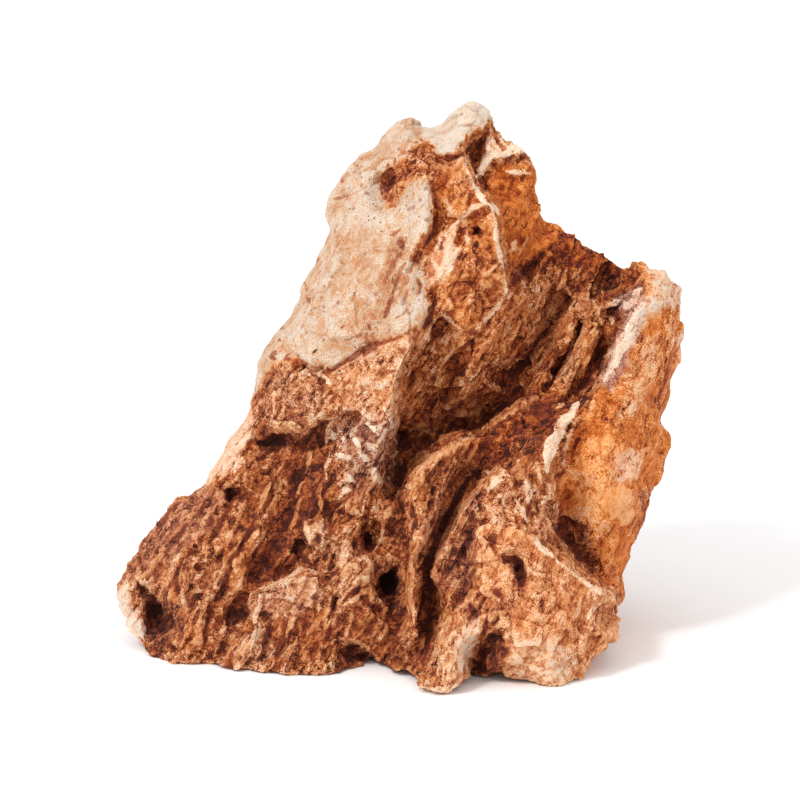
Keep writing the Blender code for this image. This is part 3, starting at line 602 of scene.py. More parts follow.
# %% Pale strokes of the wall, the plates and the lip
PALE_STROKES |= {
    "wall_vein": ([
        (644, 302), (638, 316), (630, 326), (627, 342), (618, 352), (614, 366), (604, 382),
    ], 9.0, 0.5, 0.86),
    # Painted highlight: a near-white dash where the vein on the wall catches the light.
    "wall_painted_highlight": ([(632, 318), (642, 312)], 6.0, 0.2, 0.97),
    "wall_crumb_one": ([(608, 306), (616, 302)], 6.5, 0.8, 0.72),
    "wall_crumb_two": ([(626, 308), (634, 300), (638, 292)], 6.5, 0.8, 0.78),
    "fin_crest": ([(572, 330), (572, 348), (566, 368), (556, 378)], 2.2, 0.3, 0.66),
    "white_streak": ([
        (577, 404), (570, 416), (563, 422), (558, 436), (551, 444), (549, 456), (547, 470),
    ], 13.0, 0.6, 0.97),
    "white_streak_two": ([(580, 418), (572, 430), (566, 446), (562, 470)], 3.5, 0.4, 0.76),
    "plate_spur_one": ([(503, 474), (496, 482), (488, 490)], 6.0, 0.5, 0.84),
    "plate_spur_two": ([(524, 478), (530, 490), (528, 500)], 6.0, 0.6, 0.86),
    "plate_spur_three": ([(548, 484), (550, 494), (542, 504)], 3.5, 0.5, 0.84),
    "plate_spur_four": ([(516, 500), (522, 510), (526, 520)], 3.5, 0.5, 0.84),
    "plate_spur_five": ([(484, 466), (490, 474), (497, 478)], 2.5, 0.3, 0.76),
    "plate_line": ([(476, 500), (477, 520), (480, 545)], 2.2, 0.3, 0.72),
    "crest_white": ([(534, 538), (542, 548), (552, 556)], 7.0, 0.6, 0.92),
    "crest_line": ([(556, 560), (572, 572), (592, 588), (612, 600)], 3.0, 0.5, 0.85),
    "crest_drop_one": ([(596, 596), (594, 606), (588, 618)], 3.5, 0.3, 0.82),
    "crest_drop_two": ([(582, 594), (580, 606), (574, 618)], 3.0, 0.3, 0.78),
    "lip_top": ([
        (472, 436), (458, 444), (444, 452), (430, 460), (420, 472), (413, 486), (410, 496),
    ], 5.0, 0.5, 0.7),
    "lip_side": ([(420, 528), (418, 548), (413, 566), (411, 590), (413, 616), (414, 636)], 4.0, 0.4, 0.66),
    "olive_edge": ([
        (480, 486), (468, 500), (456, 520), (444, 538), (438, 556), (434, 572),
    ], 4.0, 0.4, 0.62),
    "olive_edge_two": ([(474, 506), (464, 524), (456, 540)], 1.8, 0.3, 0.7),
    "nose_line": ([(450, 606), (444, 626), (436, 648), (426, 676)], 3.0, 0.4, 0.68),
    "nose_foot": ([(428, 690), (446, 690), (460, 684)], 6.0, 0.2, 0.84),
}

# %% [markdown]
# ### Ribs, rims and flecks on the lower left
# Each ledge has a pale rim, and thin ribs run down with the layers. The chalky crust is many short flecks
# over brown, since one pale patch would look painted on. A few crumbs here lie on the veins further up.

# %% Pale strokes of the lower left
PALE_STROKES |= {
    "step_rim": ([(258, 590), (272, 584), (288, 578), (302, 570), (314, 572), (320, 582)], 3.5, 0.5, 0.8),
    "step_drop": ([(320, 582), (320, 596), (316, 610)], 2.4, 0.4, 0.78),
    "step_left_drop": ([(262, 596), (258, 612), (254, 622)], 4.0, 0.4, 0.74),
    "rib_long": ([(322, 598), (318, 614), (318, 628)], 2.4, 0.4, 0.76),
    "rib_foot": ([(300, 642), (290, 658), (282, 674)], 2.6, 0.5, 0.78),
    "rib_foot_two": ([(326, 662), (322, 674)], 3.0, 0.4, 0.74),
    "rib_soil": ([(322, 482), (320, 496), (322, 510)], 2.4, 0.5, 0.64),
    "rib_soil_two": ([(310, 452), (306, 472), (298, 492)], 2.0, 0.4, 0.58),
    "rib_upper": ([(244, 560), (256, 544), (266, 532)], 2.2, 0.3, 0.64),
    "ledge_rim": ([(336, 612), (350, 602), (366, 592), (374, 580)], 3.0, 0.4, 0.74),
    "lump_rim": ([(360, 560), (366, 556), (372, 568), (370, 578)], 3.0, 0.5, 0.78),
    "foot_rim": ([(336, 640), (352, 640), (368, 648), (380, 660)], 3.0, 0.5, 0.66),
    "under_white": ([(334, 677), (356, 674), (380, 672)], 3.0, 0.0, 0.86),
    "under_white_left": ([(224, 672), (250, 676), (266, 678)], 3.0, 0.0, 0.84),
    "left_lump_edge": ([(182, 590), (184, 604), (188, 616)], 3.0, 0.3, 0.72),
    "left_fleck": ([(194, 534), (198, 546)], 4.0, 0.4, 0.7),
    "left_plate_rim": ([(134, 574), (146, 586), (156, 594)], 3.0, 0.3, 0.72),
    "boulder_rim": ([(273, 374), (274, 400), (272, 424), (286, 432), (306, 428)], 2.5, 0.4, 0.72),
    "flank_line": ([(246, 424), (240, 440), (232, 452)], 2.2, 0.2, 0.84),
    "chalk_run": ([(352, 492), (346, 488), (340, 498)], 5.0, 0.2, 0.84),
    "chalk_spark": ([(332, 434), (336, 440)], 5.0, 0.2, 0.98),
    "chalk_spark_two": ([(388, 422), (384, 432), (378, 446)], 4.0, 0.2, 0.92),
    "chalk_spark_three": ([(376, 468), (374, 478)], 4.0, 0.2, 0.88),
    "vein_crumb_one": ([(612, 304), (618, 300)], 7.0, 0.7, 0.84),
    "vein_crumb_two": ([(624, 308), (632, 303)], 8.0, 0.7, 0.88),
    "vein_crumb_three": ([(634, 294), (641, 290)], 6.0, 0.6, 0.84),
    "vein_crumb_four": ([(610, 316), (614, 326)], 5.0, 0.5, 0.74),
    "streak_crumb_one": ([(556, 408), (564, 404)], 5.0, 0.4, 0.8),
    "streak_crumb_two": ([(538, 470), (541, 482)], 5.0, 0.5, 0.84),
    "streak_crumb_three": ([(566, 432), (570, 440)], 4.0, 0.3, 0.82),
    "ridge_low_one": ([(228, 482), (218, 500), (206, 518), (196, 536), (190, 548)], 3.5, 0.9, 0.6),
    "ridge_low_two": ([(246, 500), (238, 520), (228, 540), (214, 556)], 3.5, 1.0, 0.62),
    "ridge_low_three": ([(276, 474), (266, 492), (260, 508)], 5.0, 1.0, 0.64),
    "ridge_low_four": ([(262, 620), (254, 640), (250, 656)], 4.0, 0.9, 0.74),
    "ridge_low_five": ([(298, 610), (290, 626), (284, 642)], 4.0, 0.9, 0.7),
    "ridge_low_six": ([(206, 606), (200, 624), (196, 640)], 3.5, 0.8, 0.64),
    "ridge_low_seven": ([(226, 622), (220, 638), (214, 654)], 3.5, 0.8, 0.66),
    "ridge_low_eight": ([(352, 540), (346, 556), (340, 566)], 4.0, 0.9, 0.72),
    "ridge_low_nine": ([(306, 522), (307, 534), (310, 544)], 3.5, 0.8, 0.84),
    "ridge_low_ten": ([(164, 552), (152, 566), (142, 576)], 3.0, 0.7, 0.62),
    "ridge_low_eleven": ([(182, 566), (196, 562), (208, 560)], 3.0, 0.7, 0.7),
    "ridge_low_twelve": ([(352, 620), (346, 636), (344, 648)], 3.5, 0.8, 0.66),
    "ridge_low_thirteen": ([(300, 500), (296, 516), (290, 530)], 3.0, 0.7, 0.56),
    "ridge_low_fourteen": ([(384, 520), (382, 536), (376, 548)], 4.0, 0.8, 0.66),
    "chalk_fleck_one": ([(340, 430), (344, 442)], 4.0, 0.4, 0.96),
    "chalk_fleck_two": ([(353, 436), (359, 447)], 5.0, 0.5, 1.0),
    "chalk_fleck_three": ([(368, 424), (379, 434)], 4.5, 0.4, 0.98),
    "chalk_fleck_four": ([(391, 420), (393, 431)], 4.0, 0.3, 1.0),
    "chalk_fleck_five": ([(336, 454), (349, 459)], 4.0, 0.4, 0.94),
    "chalk_fleck_six": ([(360, 454), (370, 464)], 5.0, 0.5, 0.98),
    "chalk_fleck_seven": ([(347, 474), (358, 485)], 4.5, 0.4, 0.96),
    "chalk_fleck_eight": ([(369, 444), (378, 453)], 4.0, 0.4, 0.96),
    "chalk_fleck_nine": ([(376, 472), (380, 482)], 4.0, 0.4, 0.94),
    "chalk_fleck_ten": ([(362, 412), (370, 418)], 4.0, 0.4, 0.92),
    "chalk_fleck_eleven": ([(384, 408), (388, 416)], 3.5, 0.3, 0.96),
    "chalk_rib": ([(338, 400), (336, 416), (328, 430), (326, 446)], 3.0, 0.5, 0.74),
    "chalk_rib_two": ([(330, 452), (326, 470), (328, 484)], 3.0, 0.6, 0.78),
    "web_apron": ([(330, 384), (326, 378), (318, 372)], 2.4, 0.3, 0.84),
}

# %% [markdown]
# ### Cracks, lines and crumbs of the slab
# Dark strokes are cracks, slots and pits, or bits of rust crust that hold on to the quartz. On the slab
# they are fine, since quartz breaks cleanly: hair-thin brown lines, splits and a few rusty crumbs. The
# wider dark step along the slab's right edge is painted shade, on the side that faces away from the lamp.

# %% Dark strokes of the slab
DARK_STROKES = {
    # Painted shade: the step that faces away from the key lamp is sunk a little and darkened.
    "shaded_scarp": ([(434, 196), (437, 214), (434, 232), (424, 246), (416, 256), (410, 270)], 3.5, -0.5, 0.16),
    "slab_split": ([(421, 252), (412, 268), (402, 289), (391, 307)], 4.0, -0.3, 0.6),
    "slab_split_two": ([(400, 272), (394, 290), (389, 306), (384, 318)], 4.0, -0.3, 0.3),
    "slab_split_three": ([(408, 290), (402, 306)], 2.5, -0.2, 0.36),
    "slab_split_four": ([(369, 326), (373, 336), (376, 344), (365, 355)], 3.5, -0.3, 0.36),
    "slab_spot": ([(396, 240), (401, 244), (404, 249)], 6.0, -0.3, 0.34),
    "slab_seam": ([(378, 344), (366, 348), (352, 358), (338, 366), (324, 376)], 2.2, -0.5, 0.26),
    "slab_brown_one": ([(410, 258), (402, 268), (396, 280)], 3.0, -0.2, 0.5),
    "slab_brown_two": ([(388, 286), (380, 304), (374, 318)], 2.2, -0.2, 0.64),
    "slab_brown_three": ([(352, 356), (366, 348), (380, 343), (402, 336)], 3.0, -0.3, 0.4),
    "slab_brown_four": ([(388, 230), (392, 220), (400, 210)], 2.2, -0.2, 0.66),
    "slab_brown_five": ([(404, 224), (398, 232), (390, 236)], 2.6, -0.2, 0.5),
    "slab_line_one": ([
        (328, 237), (338, 235), (347, 237), (356, 243), (362, 250), (352, 262),
    ], 2.0, 0.0, 0.76),
    "slab_line_two": ([(334, 258), (344, 262), (356, 264), (366, 258)], 2.0, 0.0, 0.74),
    "slab_line_three": ([(300, 316), (314, 312), (330, 314), (340, 318)], 1.8, 0.0, 0.76),
    "slab_line_four": ([(378, 214), (384, 228), (380, 244), (370, 256)], 2.0, 0.0, 0.74),
    "slab_line_five": ([(362, 172), (372, 168), (384, 158), (392, 152)], 2.0, 0.0, 0.7),
    "slab_line_six": ([(346, 296), (356, 286), (368, 276), (372, 264)], 2.0, 0.0, 0.72),
    "slab_line_seven": ([(336, 286), (330, 298), (318, 302)], 1.6, 0.0, 0.74),
    "slab_rim_one": ([(372, 142), (380, 138), (388, 130)], 3.0, 0.0, 0.7),
    "slab_rim_two": ([(340, 182), (346, 176), (350, 172)], 3.0, 0.0, 0.66),
    "slab_rust_eleven": ([(295, 342), (297, 348)], 3.0, -0.1, 0.42),
    "slab_rust_twelve": ([(277, 338), (281, 341)], 2.6, -0.1, 0.42),
    "slab_rust_more": ([(309, 268), (313, 262), (316, 258)], 3.0, -0.1, 0.46),
    "slab_rust_mid": ([(366, 292), (372, 288)], 2.4, -0.1, 0.4),
    "slab_rust_mid_two": ([(356, 306), (358, 312)], 2.2, -0.1, 0.4),
    "slab_rust_mid_three": ([(340, 330), (344, 326)], 2.4, -0.1, 0.4),
    "slab_dash": ([(313, 353), (318, 348)], 1.6, -0.3, 0.12),
    "slab_dash_two": ([(334, 228), (337, 236)], 1.2, -0.2, 0.36),
    "slab_crack": ([
        (331, 200), (350, 195), (365, 188), (380, 181), (390, 174), (398, 169),
    ], 2.0, -0.3, 0.5),
    "slab_low_edge": ([(284, 360), (296, 358), (308, 364)], 3.5, -0.2, 0.36),
    "slab_crumb_one": ([(322, 246), (326, 240)], 3.0, 0.2, 0.4),
    "slab_crumb_two": ([(306, 296), (310, 302)], 3.2, 0.2, 0.42),
    "slab_crumb_three": ([(286, 356), (292, 352)], 3.6, 0.2, 0.38),
    "slab_crumb_four": ([(270, 356), (276, 360)], 3.0, 0.2, 0.4),
    "slab_crumb_five": ([(398, 258), (402, 252)], 3.2, -0.2, 0.4),
    "slab_crumb_six": ([(410, 306), (404, 314), (396, 318)], 3.4, -0.3, 0.44),
    "slab_crumb_seven": ([(416, 276), (420, 286), (418, 294)], 3.4, -0.3, 0.42),
    "slab_crumb_eight": ([(430, 178), (434, 190), (433, 204)], 3.0, -0.3, 0.46),
    "slab_crumb_nine": ([(346, 160), (352, 156)], 3.0, 0.2, 0.44),
    "slab_crumb_ten": ([(392, 120), (396, 124)], 2.6, 0.2, 0.42),
    "slab_crumb_eleven": ([(372, 346), (366, 338), (368, 330)], 3.0, -0.3, 0.46),
    "slab_crumb_twelve": ([(394, 262), (388, 276), (384, 284)], 2.6, -0.3, 0.5),
    "slab_rust_one": ([(304, 282), (307, 290)], 2.2, -0.1, 0.5),
    "slab_rust_two": ([(314, 262), (320, 258)], 2.4, -0.1, 0.42),
    "slab_rust_three": ([(298, 316), (302, 318)], 3.0, -0.1, 0.46),
    "slab_rust_four": ([(264, 345), (267, 346)], 3.4, -0.1, 0.34),
    "slab_rust_five": ([(281, 327), (284, 329)], 2.4, -0.1, 0.36),
    "slab_rust_six": ([(294, 346), (298, 350)], 4.0, -0.1, 0.38),
    "slab_rust_seven": ([(274, 352), (276, 354)], 3.0, -0.1, 0.4),
    "slab_rust_eight": ([(344, 179), (342, 182)], 3.0, -0.1, 0.42),
    "slab_rust_nine": ([(359, 164), (357, 167)], 2.4, -0.1, 0.36),
    "slab_rust_ten": ([(302, 334), (300, 338)], 2.2, -0.1, 0.4),
}

# %% [markdown]
# ### Slots in the rib and the valley
# Soft layers have weathered out between the fins and left narrow slots. A stroke sinks each by up to 1.6 mm
# and darkens it, for the soil in it and as painted shade, and the lamps do the rest.

# %% Dark strokes of the rib and the valley
DARK_STROKES |= {
    "summit_crack": ([(444, 156), (456, 158), (466, 152), (474, 140)], 3.0, -0.5, 0.18),
    "pit_arete_dark": ([(474, 228), (480, 232)], 7.0, -0.8, 0.14),
    "pit_arete_dark_two": ([(460, 239), (462, 243)], 4.0, -0.4, 0.14),
    "arete_slot": ([(434, 300), (430, 318), (424, 328)], 5.0, -0.5, 0.14),
    "arete_slot_two": ([(442, 244), (440, 250)], 3.0, -0.4, 0.2),
    "arete_slot_three": ([(446, 236), (438, 246)], 2.2, -0.3, 0.26),
    "slit_one": ([(557, 296), (550, 322), (537, 343), (522, 362), (504, 384)], 2.4, -0.3, 0.08),
    "slit_two": ([(579, 318), (574, 336), (566, 355), (555, 377), (548, 392)], 2.4, -0.3, 0.08),
    "slit_three": ([(604, 322), (600, 342), (592, 360), (580, 380)], 3.0, -0.3, 0.12),
    "slit_four": ([(530, 262), (520, 276), (506, 290)], 2.6, -0.3, 0.16),
    "slit_five": ([(470, 338), (460, 352), (452, 370)], 2.4, -0.3, 0.12),
    "slot_a": ([(556, 288), (557, 304), (548, 322), (538, 340), (526, 358), (512, 376)], 2.6, -0.15, 0.14),
    "slot_b": ([(580, 316), (575, 334), (568, 352), (556, 370)], 2.6, -0.15, 0.14),
    "slot_c": ([(602, 352), (596, 368), (586, 382), (574, 396)], 4.0, -0.15, 0.14),
    "slot_d": ([(458, 356), (453, 372), (450, 388)], 2.6, -0.15, 0.14),
    "slot_e": ([(482, 384), (494, 392)], 3.2, -0.15, 0.14),
    "slot_f": ([(524, 322), (518, 334), (512, 348)], 2.0, -0.5, 0.16),
    "slot_g": ([(540, 392), (520, 396), (500, 408), (478, 426), (452, 438), (428, 448)], 3.2, -0.15, 0.14),
    "slot_h": ([(436, 398), (428, 416)], 3.0, -0.5, 0.1),
    "slot_i": ([(514, 284), (524, 272), (540, 262)], 4.0, -0.3, 0.18),
}

# %% [markdown]
# ### Pocks and gaps on the right
# The wall has only a few pocks. The plates have holes and gaps where crumbs fell out, and the gully
# between lip and plates is the darkest line of the front, darkened as painted shade.

# %% Dark strokes of the wall, the plates and the lip
DARK_STROKES |= {
    "lip_crack": ([(586, 396), (580, 404), (574, 408)], 8.0, -0.5, 0.1),
    "streak_spot": ([(580, 434), (576, 444), (574, 452)], 5.0, -0.5, 0.18),
    "wall_pock_one": ([(566, 484), (566, 500)], 3.0, -0.3, 0.3),
    "wall_split": ([(670, 362), (664, 384), (656, 402)], 2.2, -0.3, 0.3),
    "wall_pock_two": ([(656, 396), (655, 404)], 2.4, -0.3, 0.2),
    "wall_pock_three": ([(624, 420), (620, 430)], 2.2, -0.3, 0.3),
    "bite_shade": ([(552, 524), (562, 536), (576, 552), (592, 564)], 7.0, -0.6, 0.2),
    "bite_shade_two": ([(574, 522), (582, 530)], 5.0, -0.4, 0.22),
    "plate_hole": ([(514, 476), (517, 484), (512, 490)], 5.0, -0.6, 0.26),
    "plate_gap": ([(503, 556), (512, 562)], 3.5, -0.5, 0.14),
    "plate_gap_two": ([(530, 508), (522, 524)], 3.0, -0.4, 0.3),
    # Painted shade along the recessed gully between the lip and the plates.
    "gully": ([
        (482, 470), (470, 480), (456, 500), (444, 522), (434, 548), (428, 572), (430, 600),
    ], 6.0, -0.8, 0.1),
    "gully_low": ([(430, 600), (430, 630), (424, 660)], 5.0, -0.5, 0.16),
    "slope_cut": ([(474, 512), (470, 534), (462, 556)], 4.0, -0.5, 0.14),
    "slope_cut_two": ([(456, 548), (450, 560), (446, 574)], 3.0, -0.4, 0.16),
    "slope_cut_three": ([(476, 566), (462, 590), (452, 610)], 3.0, -0.4, 0.2),
    "side_cut": ([(488, 610), (486, 628), (482, 640)], 2.5, -0.4, 0.2),
    "nose_crack": ([(446, 668), (444, 680), (450, 684)], 2.0, -0.3, 0.24),
    "tongue_shade": ([(412, 500), (416, 520), (408, 546), (406, 576)], 3.5, -0.4, 0.14),
}

# %% [markdown]
# ### Pits and grooves on the lower left
# Round pits are short, wide strokes and grooves are long ones along the layers. Soil and shade fill
# both, so their tone is near black-brown.

# %% Dark strokes of the lower left
DARK_STROKES |= {
    "pit_cave": ([(401, 436), (403, 440)], 6.5, -1.0, 0.05),
    "pit_cave_two": ([(402, 464), (400, 476)], 5.0, -0.7, 0.08),
    "pit_middle": ([(366, 538), (369, 548)], 6.5, -1.0, 0.06),
    "pit_middle_two": ([(326, 508), (332, 514)], 7.0, -0.6, 0.2),
    "pit_middle_three": ([(318, 530), (320, 542)], 3.0, -0.4, 0.22),
    "pit_left": ([(231, 492), (230, 500)], 6.5, -0.9, 0.1),
    "pit_left_two": ([(160, 626), (162, 630)], 5.0, -0.8, 0.1),
    "pit_left_three": ([(171, 645), (172, 649)], 5.0, -0.8, 0.1),
    "pit_left_four": ([(148, 606), (150, 616)], 6.0, -0.5, 0.18),
    "pit_left_five": ([(138, 580), (144, 592)], 4.0, -0.5, 0.14),
    "pit_low": ([(192, 600), (202, 594)], 4.0, -0.5, 0.16),
    "pit_soil": ([(261, 456), (264, 460)], 4.5, -0.5, 0.12),
    "seam_soil": ([(288, 570), (274, 576), (258, 582)], 5.0, -0.6, 0.16),
    "foot_slot": ([(288, 628), (282, 640), (276, 664)], 4.0, -0.6, 0.22),
    "groove_low_one": ([(238, 490), (228, 510), (216, 530), (204, 548)], 4.0, -0.6, 0.24),
    "groove_low_two": ([(258, 514), (248, 534), (238, 552), (230, 562)], 4.5, -0.7, 0.22),
    "groove_low_three": ([(232, 566), (226, 582), (216, 600)], 5.0, -0.8, 0.18),
    "groove_low_four": ([(210, 612), (206, 630), (204, 646)], 3.5, -0.5, 0.24),
    "groove_low_five": ([(272, 622), (266, 640), (262, 660)], 4.0, -0.6, 0.22),
    "groove_low_six": ([(308, 610), (304, 630), (298, 650)], 4.0, -0.6, 0.22),
    "groove_low_seven": ([(340, 568), (332, 576), (324, 580)], 4.0, -0.7, 0.18),
    "groove_low_eight": ([(362, 584), (352, 594), (344, 602)], 4.0, -0.7, 0.2),
    "groove_low_nine": ([(298, 540), (302, 556), (312, 566)], 5.0, -0.8, 0.16),
    "groove_low_ten": ([(182, 558), (176, 576), (176, 590)], 4.0, -0.6, 0.22),
    "groove_low_eleven": ([(188, 520), (178, 540), (166, 552)], 3.5, -0.5, 0.26),
    "groove_low_twelve": ([(370, 510), (366, 524), (362, 536)], 4.0, -0.6, 0.22),
    "groove_low_thirteen": ([(342, 510), (336, 520), (332, 528)], 4.0, -0.6, 0.2),
    "plate_pit_arch": ([(505, 562), (512, 558), (520, 564), (524, 576), (520, 586)], 8.0, -1.2, 0.14),
    "plate_pit_small": ([(494, 590), (500, 596)], 5.0, -0.6, 0.24),
    "plate_pit_low": ([(470, 606), (476, 618)], 6.0, -0.7, 0.22),
    "plate_pit_left": ([(494, 536), (490, 546)], 5.0, -0.6, 0.26),
    "foot_slot_two": ([(336, 600), (332, 620), (328, 640)], 4.0, -0.5, 0.24),
    "foot_slot_three": ([(318, 646), (312, 660)], 3.5, -0.5, 0.26),
    "shade_boulder": ([(258, 446), (272, 438), (290, 434)], 4.0, -0.8, 0.08),
    "dark_left_edge": ([(172, 506), (164, 520), (156, 530)], 4.0, -0.4, 0.22),
    "low_hollow": ([(360, 596), (372, 606), (386, 612)], 5.0, -0.6, 0.2),
    "low_hollow_two": ([(350, 626), (362, 630)], 4.0, -0.5, 0.24),
    "low_hollow_three": ([(222, 650), (228, 640)], 4.0, -0.5, 0.24),
    "foot_dark": ([(340, 664), (352, 658), (364, 658)], 5.0, -0.8, 0.1),
}
print(len(FRONT_PATCHES) + len(BACK_PATCHES), "patches,", len(PALE_STROKES) + len(DARK_STROKES), "strokes")

# %% [markdown]
# ## Reading the patches and strokes at a point
# A patch is read by the signed distance to its outline, a stroke by the distance to its path. Both
# are measured in the picture's pixels. Only the side that faces the viewer takes the front's patches.

# %% Distances in the picture
def from_path(path, spots):
    """Distance in pixels from each spot to the path, and the nearest point's share of the way along."""
    points = np.array(path, float)
    steps = points[1:] - points[:-1]
    lengths = np.hypot(*steps.T)
    nearest = np.full(len(spots), 1e9)
    share = np.zeros(len(spots))
    travelled = 0.0
    for start, step, length in zip(points, steps, lengths):
        part = np.clip((spots - start) @ step / length**2, 0, 1)
        away = np.hypot(*(spots - start - part[:, None] * step).T)
        closer = away < nearest
        nearest[closer] = away[closer]
        share[closer] = (travelled + part[closer] * length) / lengths.sum()
        travelled += length
    return nearest, share


def into_outline(outline, spots):
    """Pixels from each spot to the outline, above 0 inside it."""
    corners = np.array(outline, float)
    nearest, _ = from_path(np.vstack([corners, corners[:1]]), spots)
    inside = np.zeros(len(spots), bool)
    for a, b in zip(corners, np.roll(corners, -1, axis=0)):
        spans = (a[1] > spots[:, 1]) != (b[1] > spots[:, 1])
        crossing = a[0] + (spots[:, 1] - a[1]) / ((b[1] - a[1]) or 1e-9) * (b[0] - a[0])
        inside ^= spans & (spots[:, 0] < crossing)
    return np.where(inside, nearest, -nearest)


def near(outline, spots, margin):
    """Which spots are within this many pixels of an outline's or path's own rectangle."""
    corners = np.array(outline, float)
    low, high = corners.min(0) - margin, corners.max(0) + margin
    return np.flatnonzero(((spots > low) & (spots < high)).all(1))


# %% [markdown]
# ### Laying forms over each other
# A patch replaces what lies below it, softly over its edge. A stroke adds its lift and gets thinner
# towards both ends, and where strokes cross, the one that a point is deeper in gives the tone.

# %% Patches and strokes at a point
STROKE_LIFT = 2  # mm, for a stroke's lift of 1


def laid_over(values, patches, spots, share, wander):
    """Lays each patch over the values, as far as the point belongs to this side of the stone."""
    for edge, there, outline in patches.values():
        which = near(outline, spots, edge + 6)
        inside = into_outline(outline, spots[which]) + wander[which]
        weight = gentle(inside / edge + 0.5) * share[which]
        for kind, value in there.items():
            values[kind][which] += weight * (value - values[kind][which])


def drawn(strokes, spots, share, wander):
    """For each point: how far inside a stroke it is in pixels, and that stroke's lift and tone."""
    depth = np.full(len(spots), -9.0)
    lift = np.zeros(len(spots))
    tone = np.zeros(len(spots))
    for path, width, raised, paint in strokes.values():
        which = near(path, spots, width + 8)
        away, along = from_path(path, spots[which])
        taper = 0.45 + 0.55 * gentle(along / 0.3) * gentle((1 - along) / 0.3)
        inside = width / 2 * taper - away + wander[which] * 0.35
        inside = np.where(share[which] > 0.5, inside, -9.0)
        lift[which] += STROKE_LIFT * raised * gentle(inside / width + 0.9) * share[which]
        better = inside > depth[which]
        depth[which[better]] = inside[better]
        tone[which[better]] = paint
    return depth, lift, tone


# %% [markdown]
# ### What a point is made of
# Here it all comes together: the patches of the back and the front, then the strokes. A wander pushes
# all outlines in and out by some pixels, because a broken stone has no even edge.

# %% What the stone is made of at a point
def made_of(places, normals):
    """What the stone is at each point, as a dict of arrays."""
    spots, _ = as_seen(places)
    front = gentle((normals @ TO_VIEWER + 0.3) / 0.3)
    wander = fractal(places, 6 * MM) * 6 + chips(places, 2.4 * MM, shift=1.0) * 3
    values = {kind: np.full(len(places), value) for kind, value in GROUND.items()}
    laid_over(values, BACK_PATCHES, spots, 1 - front, wander * 2)
    laid_over(values, FRONT_PATCHES, spots, front, wander)
    values["pale_depth"], pale_lift, values["pale_tone"] = drawn(PALE_STROKES, spots, front, wander)
    values["dark_depth"], dark_lift, values["dark_tone"] = drawn(DARK_STROKES, spots, front, wander)
    values["lift"] += pale_lift + dark_lift
    values["rough"] *= 1 - 0.5 * gentle(values["pale_depth"] / 2 + 1)
    values["fire"] *= 1 - 0.8 * gentle(values["pale_depth"] / 2 + 1)
    values["mottle"] *= 0.6 + 0.7 * gentle(fractal(places, 8 * MM, 2, shift=9.0) * 1.2 + 0.5)
    return values


# %% [markdown]
# ## Carving the fine surface
# The coarse facets are first melted into each other. Then patches and strokes are raised or sunk
# along the line of sight, so that each form stays where it was drawn. The mesh is rebuilt in even
# cells before and after, because pushing stretches it.

# %% Carve
VOXEL_COARSE = 0.8 * MM
VOXEL_FINE = 0.5 * MM

surface = applied(coarse_rock.data.copy(), "REMESH", mode="VOXEL", voxel_size=VOXEL_COARSE, adaptivity=0)
surface = applied(surface, "SMOOTH", factor=0.5, iterations=2)
places, normals = points_of(surface)
there = made_of(places, normals)
move_to(surface, places + TO_VIEWER * (there["lift"] * MM)[:, None])
surface = applied(surface, "REMESH", mode="VOXEL", voxel_size=VOXEL_FINE, adaptivity=0)
places, normals = points_of(surface)
print("carved:", len(places), "points")

# %% [markdown]
# ## Relief along the surface
# On the real stone, layers of unequal hardness weather into ridges, plates and chips break off between
# them, and soft spots fall out as pits. This could be sculpted by hand, or pushed out by a height picture
# on an unwrapped mesh. Here noise moves each point along its own normal, once for each kind of form,
# because it needs no unwrapping and the patches can say how rough and how layered each place is. Quartz
# breaks smoothly, so little is added there.

# %% Relief
# Each kind of form: how wide it is in metres, and how high it stands in mm where the stone is rough.
RIDGES, RIDGES_HIGH = 5.5 * MM, 1.7
FINE_RIDGES, FINE_RIDGES_HIGH = 2.6 * MM, 0.6
PLATES, PLATES_HIGH = 12 * MM, 1.8
CHIPS, CHIPS_HIGH = 5.5 * MM, 0.9
CRUMBS, CRUMBS_HIGH = 2.4 * MM, 0.3
LUMPS, LUMPS_HIGH = 6 * MM, 0.5
PITS, PITS_DEEP = 2.6 * MM, 0.8
there = made_of(places, normals)
rough = np.clip(there["rough"], 0.1, 1.3)
layered = there["layered"]
patchy = rough * (0.35 + 1.1 * gentle(fractal(places, 11 * MM, 2, shift=8.0) + 0.5))
raised = RIDGES_HIGH * ridges(places, RIDGES) * rough * layered
raised += FINE_RIDGES_HIGH * ridges(places, FINE_RIDGES, shift=9.0) * rough * layered
raised += PLATES_HIGH * flakes(places, PLATES, layered, shift=7.0) * (0.25 + 0.75 * rough)
raised += CHIPS_HIGH * flakes(places, CHIPS, layered, shift=2.0) * (0.15 + 0.85 * patchy)
raised += CRUMBS_HIGH * flakes(places, CRUMBS, layered, shift=4.0) * (0.15 + 0.85 * patchy)
raised += LUMPS_HIGH * fractal(places, LUMPS, 3, shift=3.0) * (0.35 + 0.65 * rough)
raised -= PITS_DEEP * gentle((fractal(places, PITS, 2, shift=5.0) - 0.3) / 0.3) * patchy
places = places + normals * (raised * MM)[:, None]
move_to(surface, np.clip(places, *np.array(CAD_BOX)))
print("relief from", round(raised.min(), 1), "to", round(raised.max(), 1), "mm")

# %% [markdown]
# ## Fewer triangles where nobody looks closely
# The mesh keeps under 200,000 triangles, and the side that faces the viewer keeps most of them. A
# Decimate modifier with a vertex group only collapses edges between the group's points, so the far
# side is thinned first and the near side second, each to its own number of triangles. Which side a
# point belongs to is told by its normal, smoothed over the points round it. Collapsing edges can push a
# point out of the solid's box by a fraction of a millimetre, so the points are kept to the box again.

# %% Decimate
FAR_TRIANGLES = 44000
NEAR_TRIANGLES = 142000


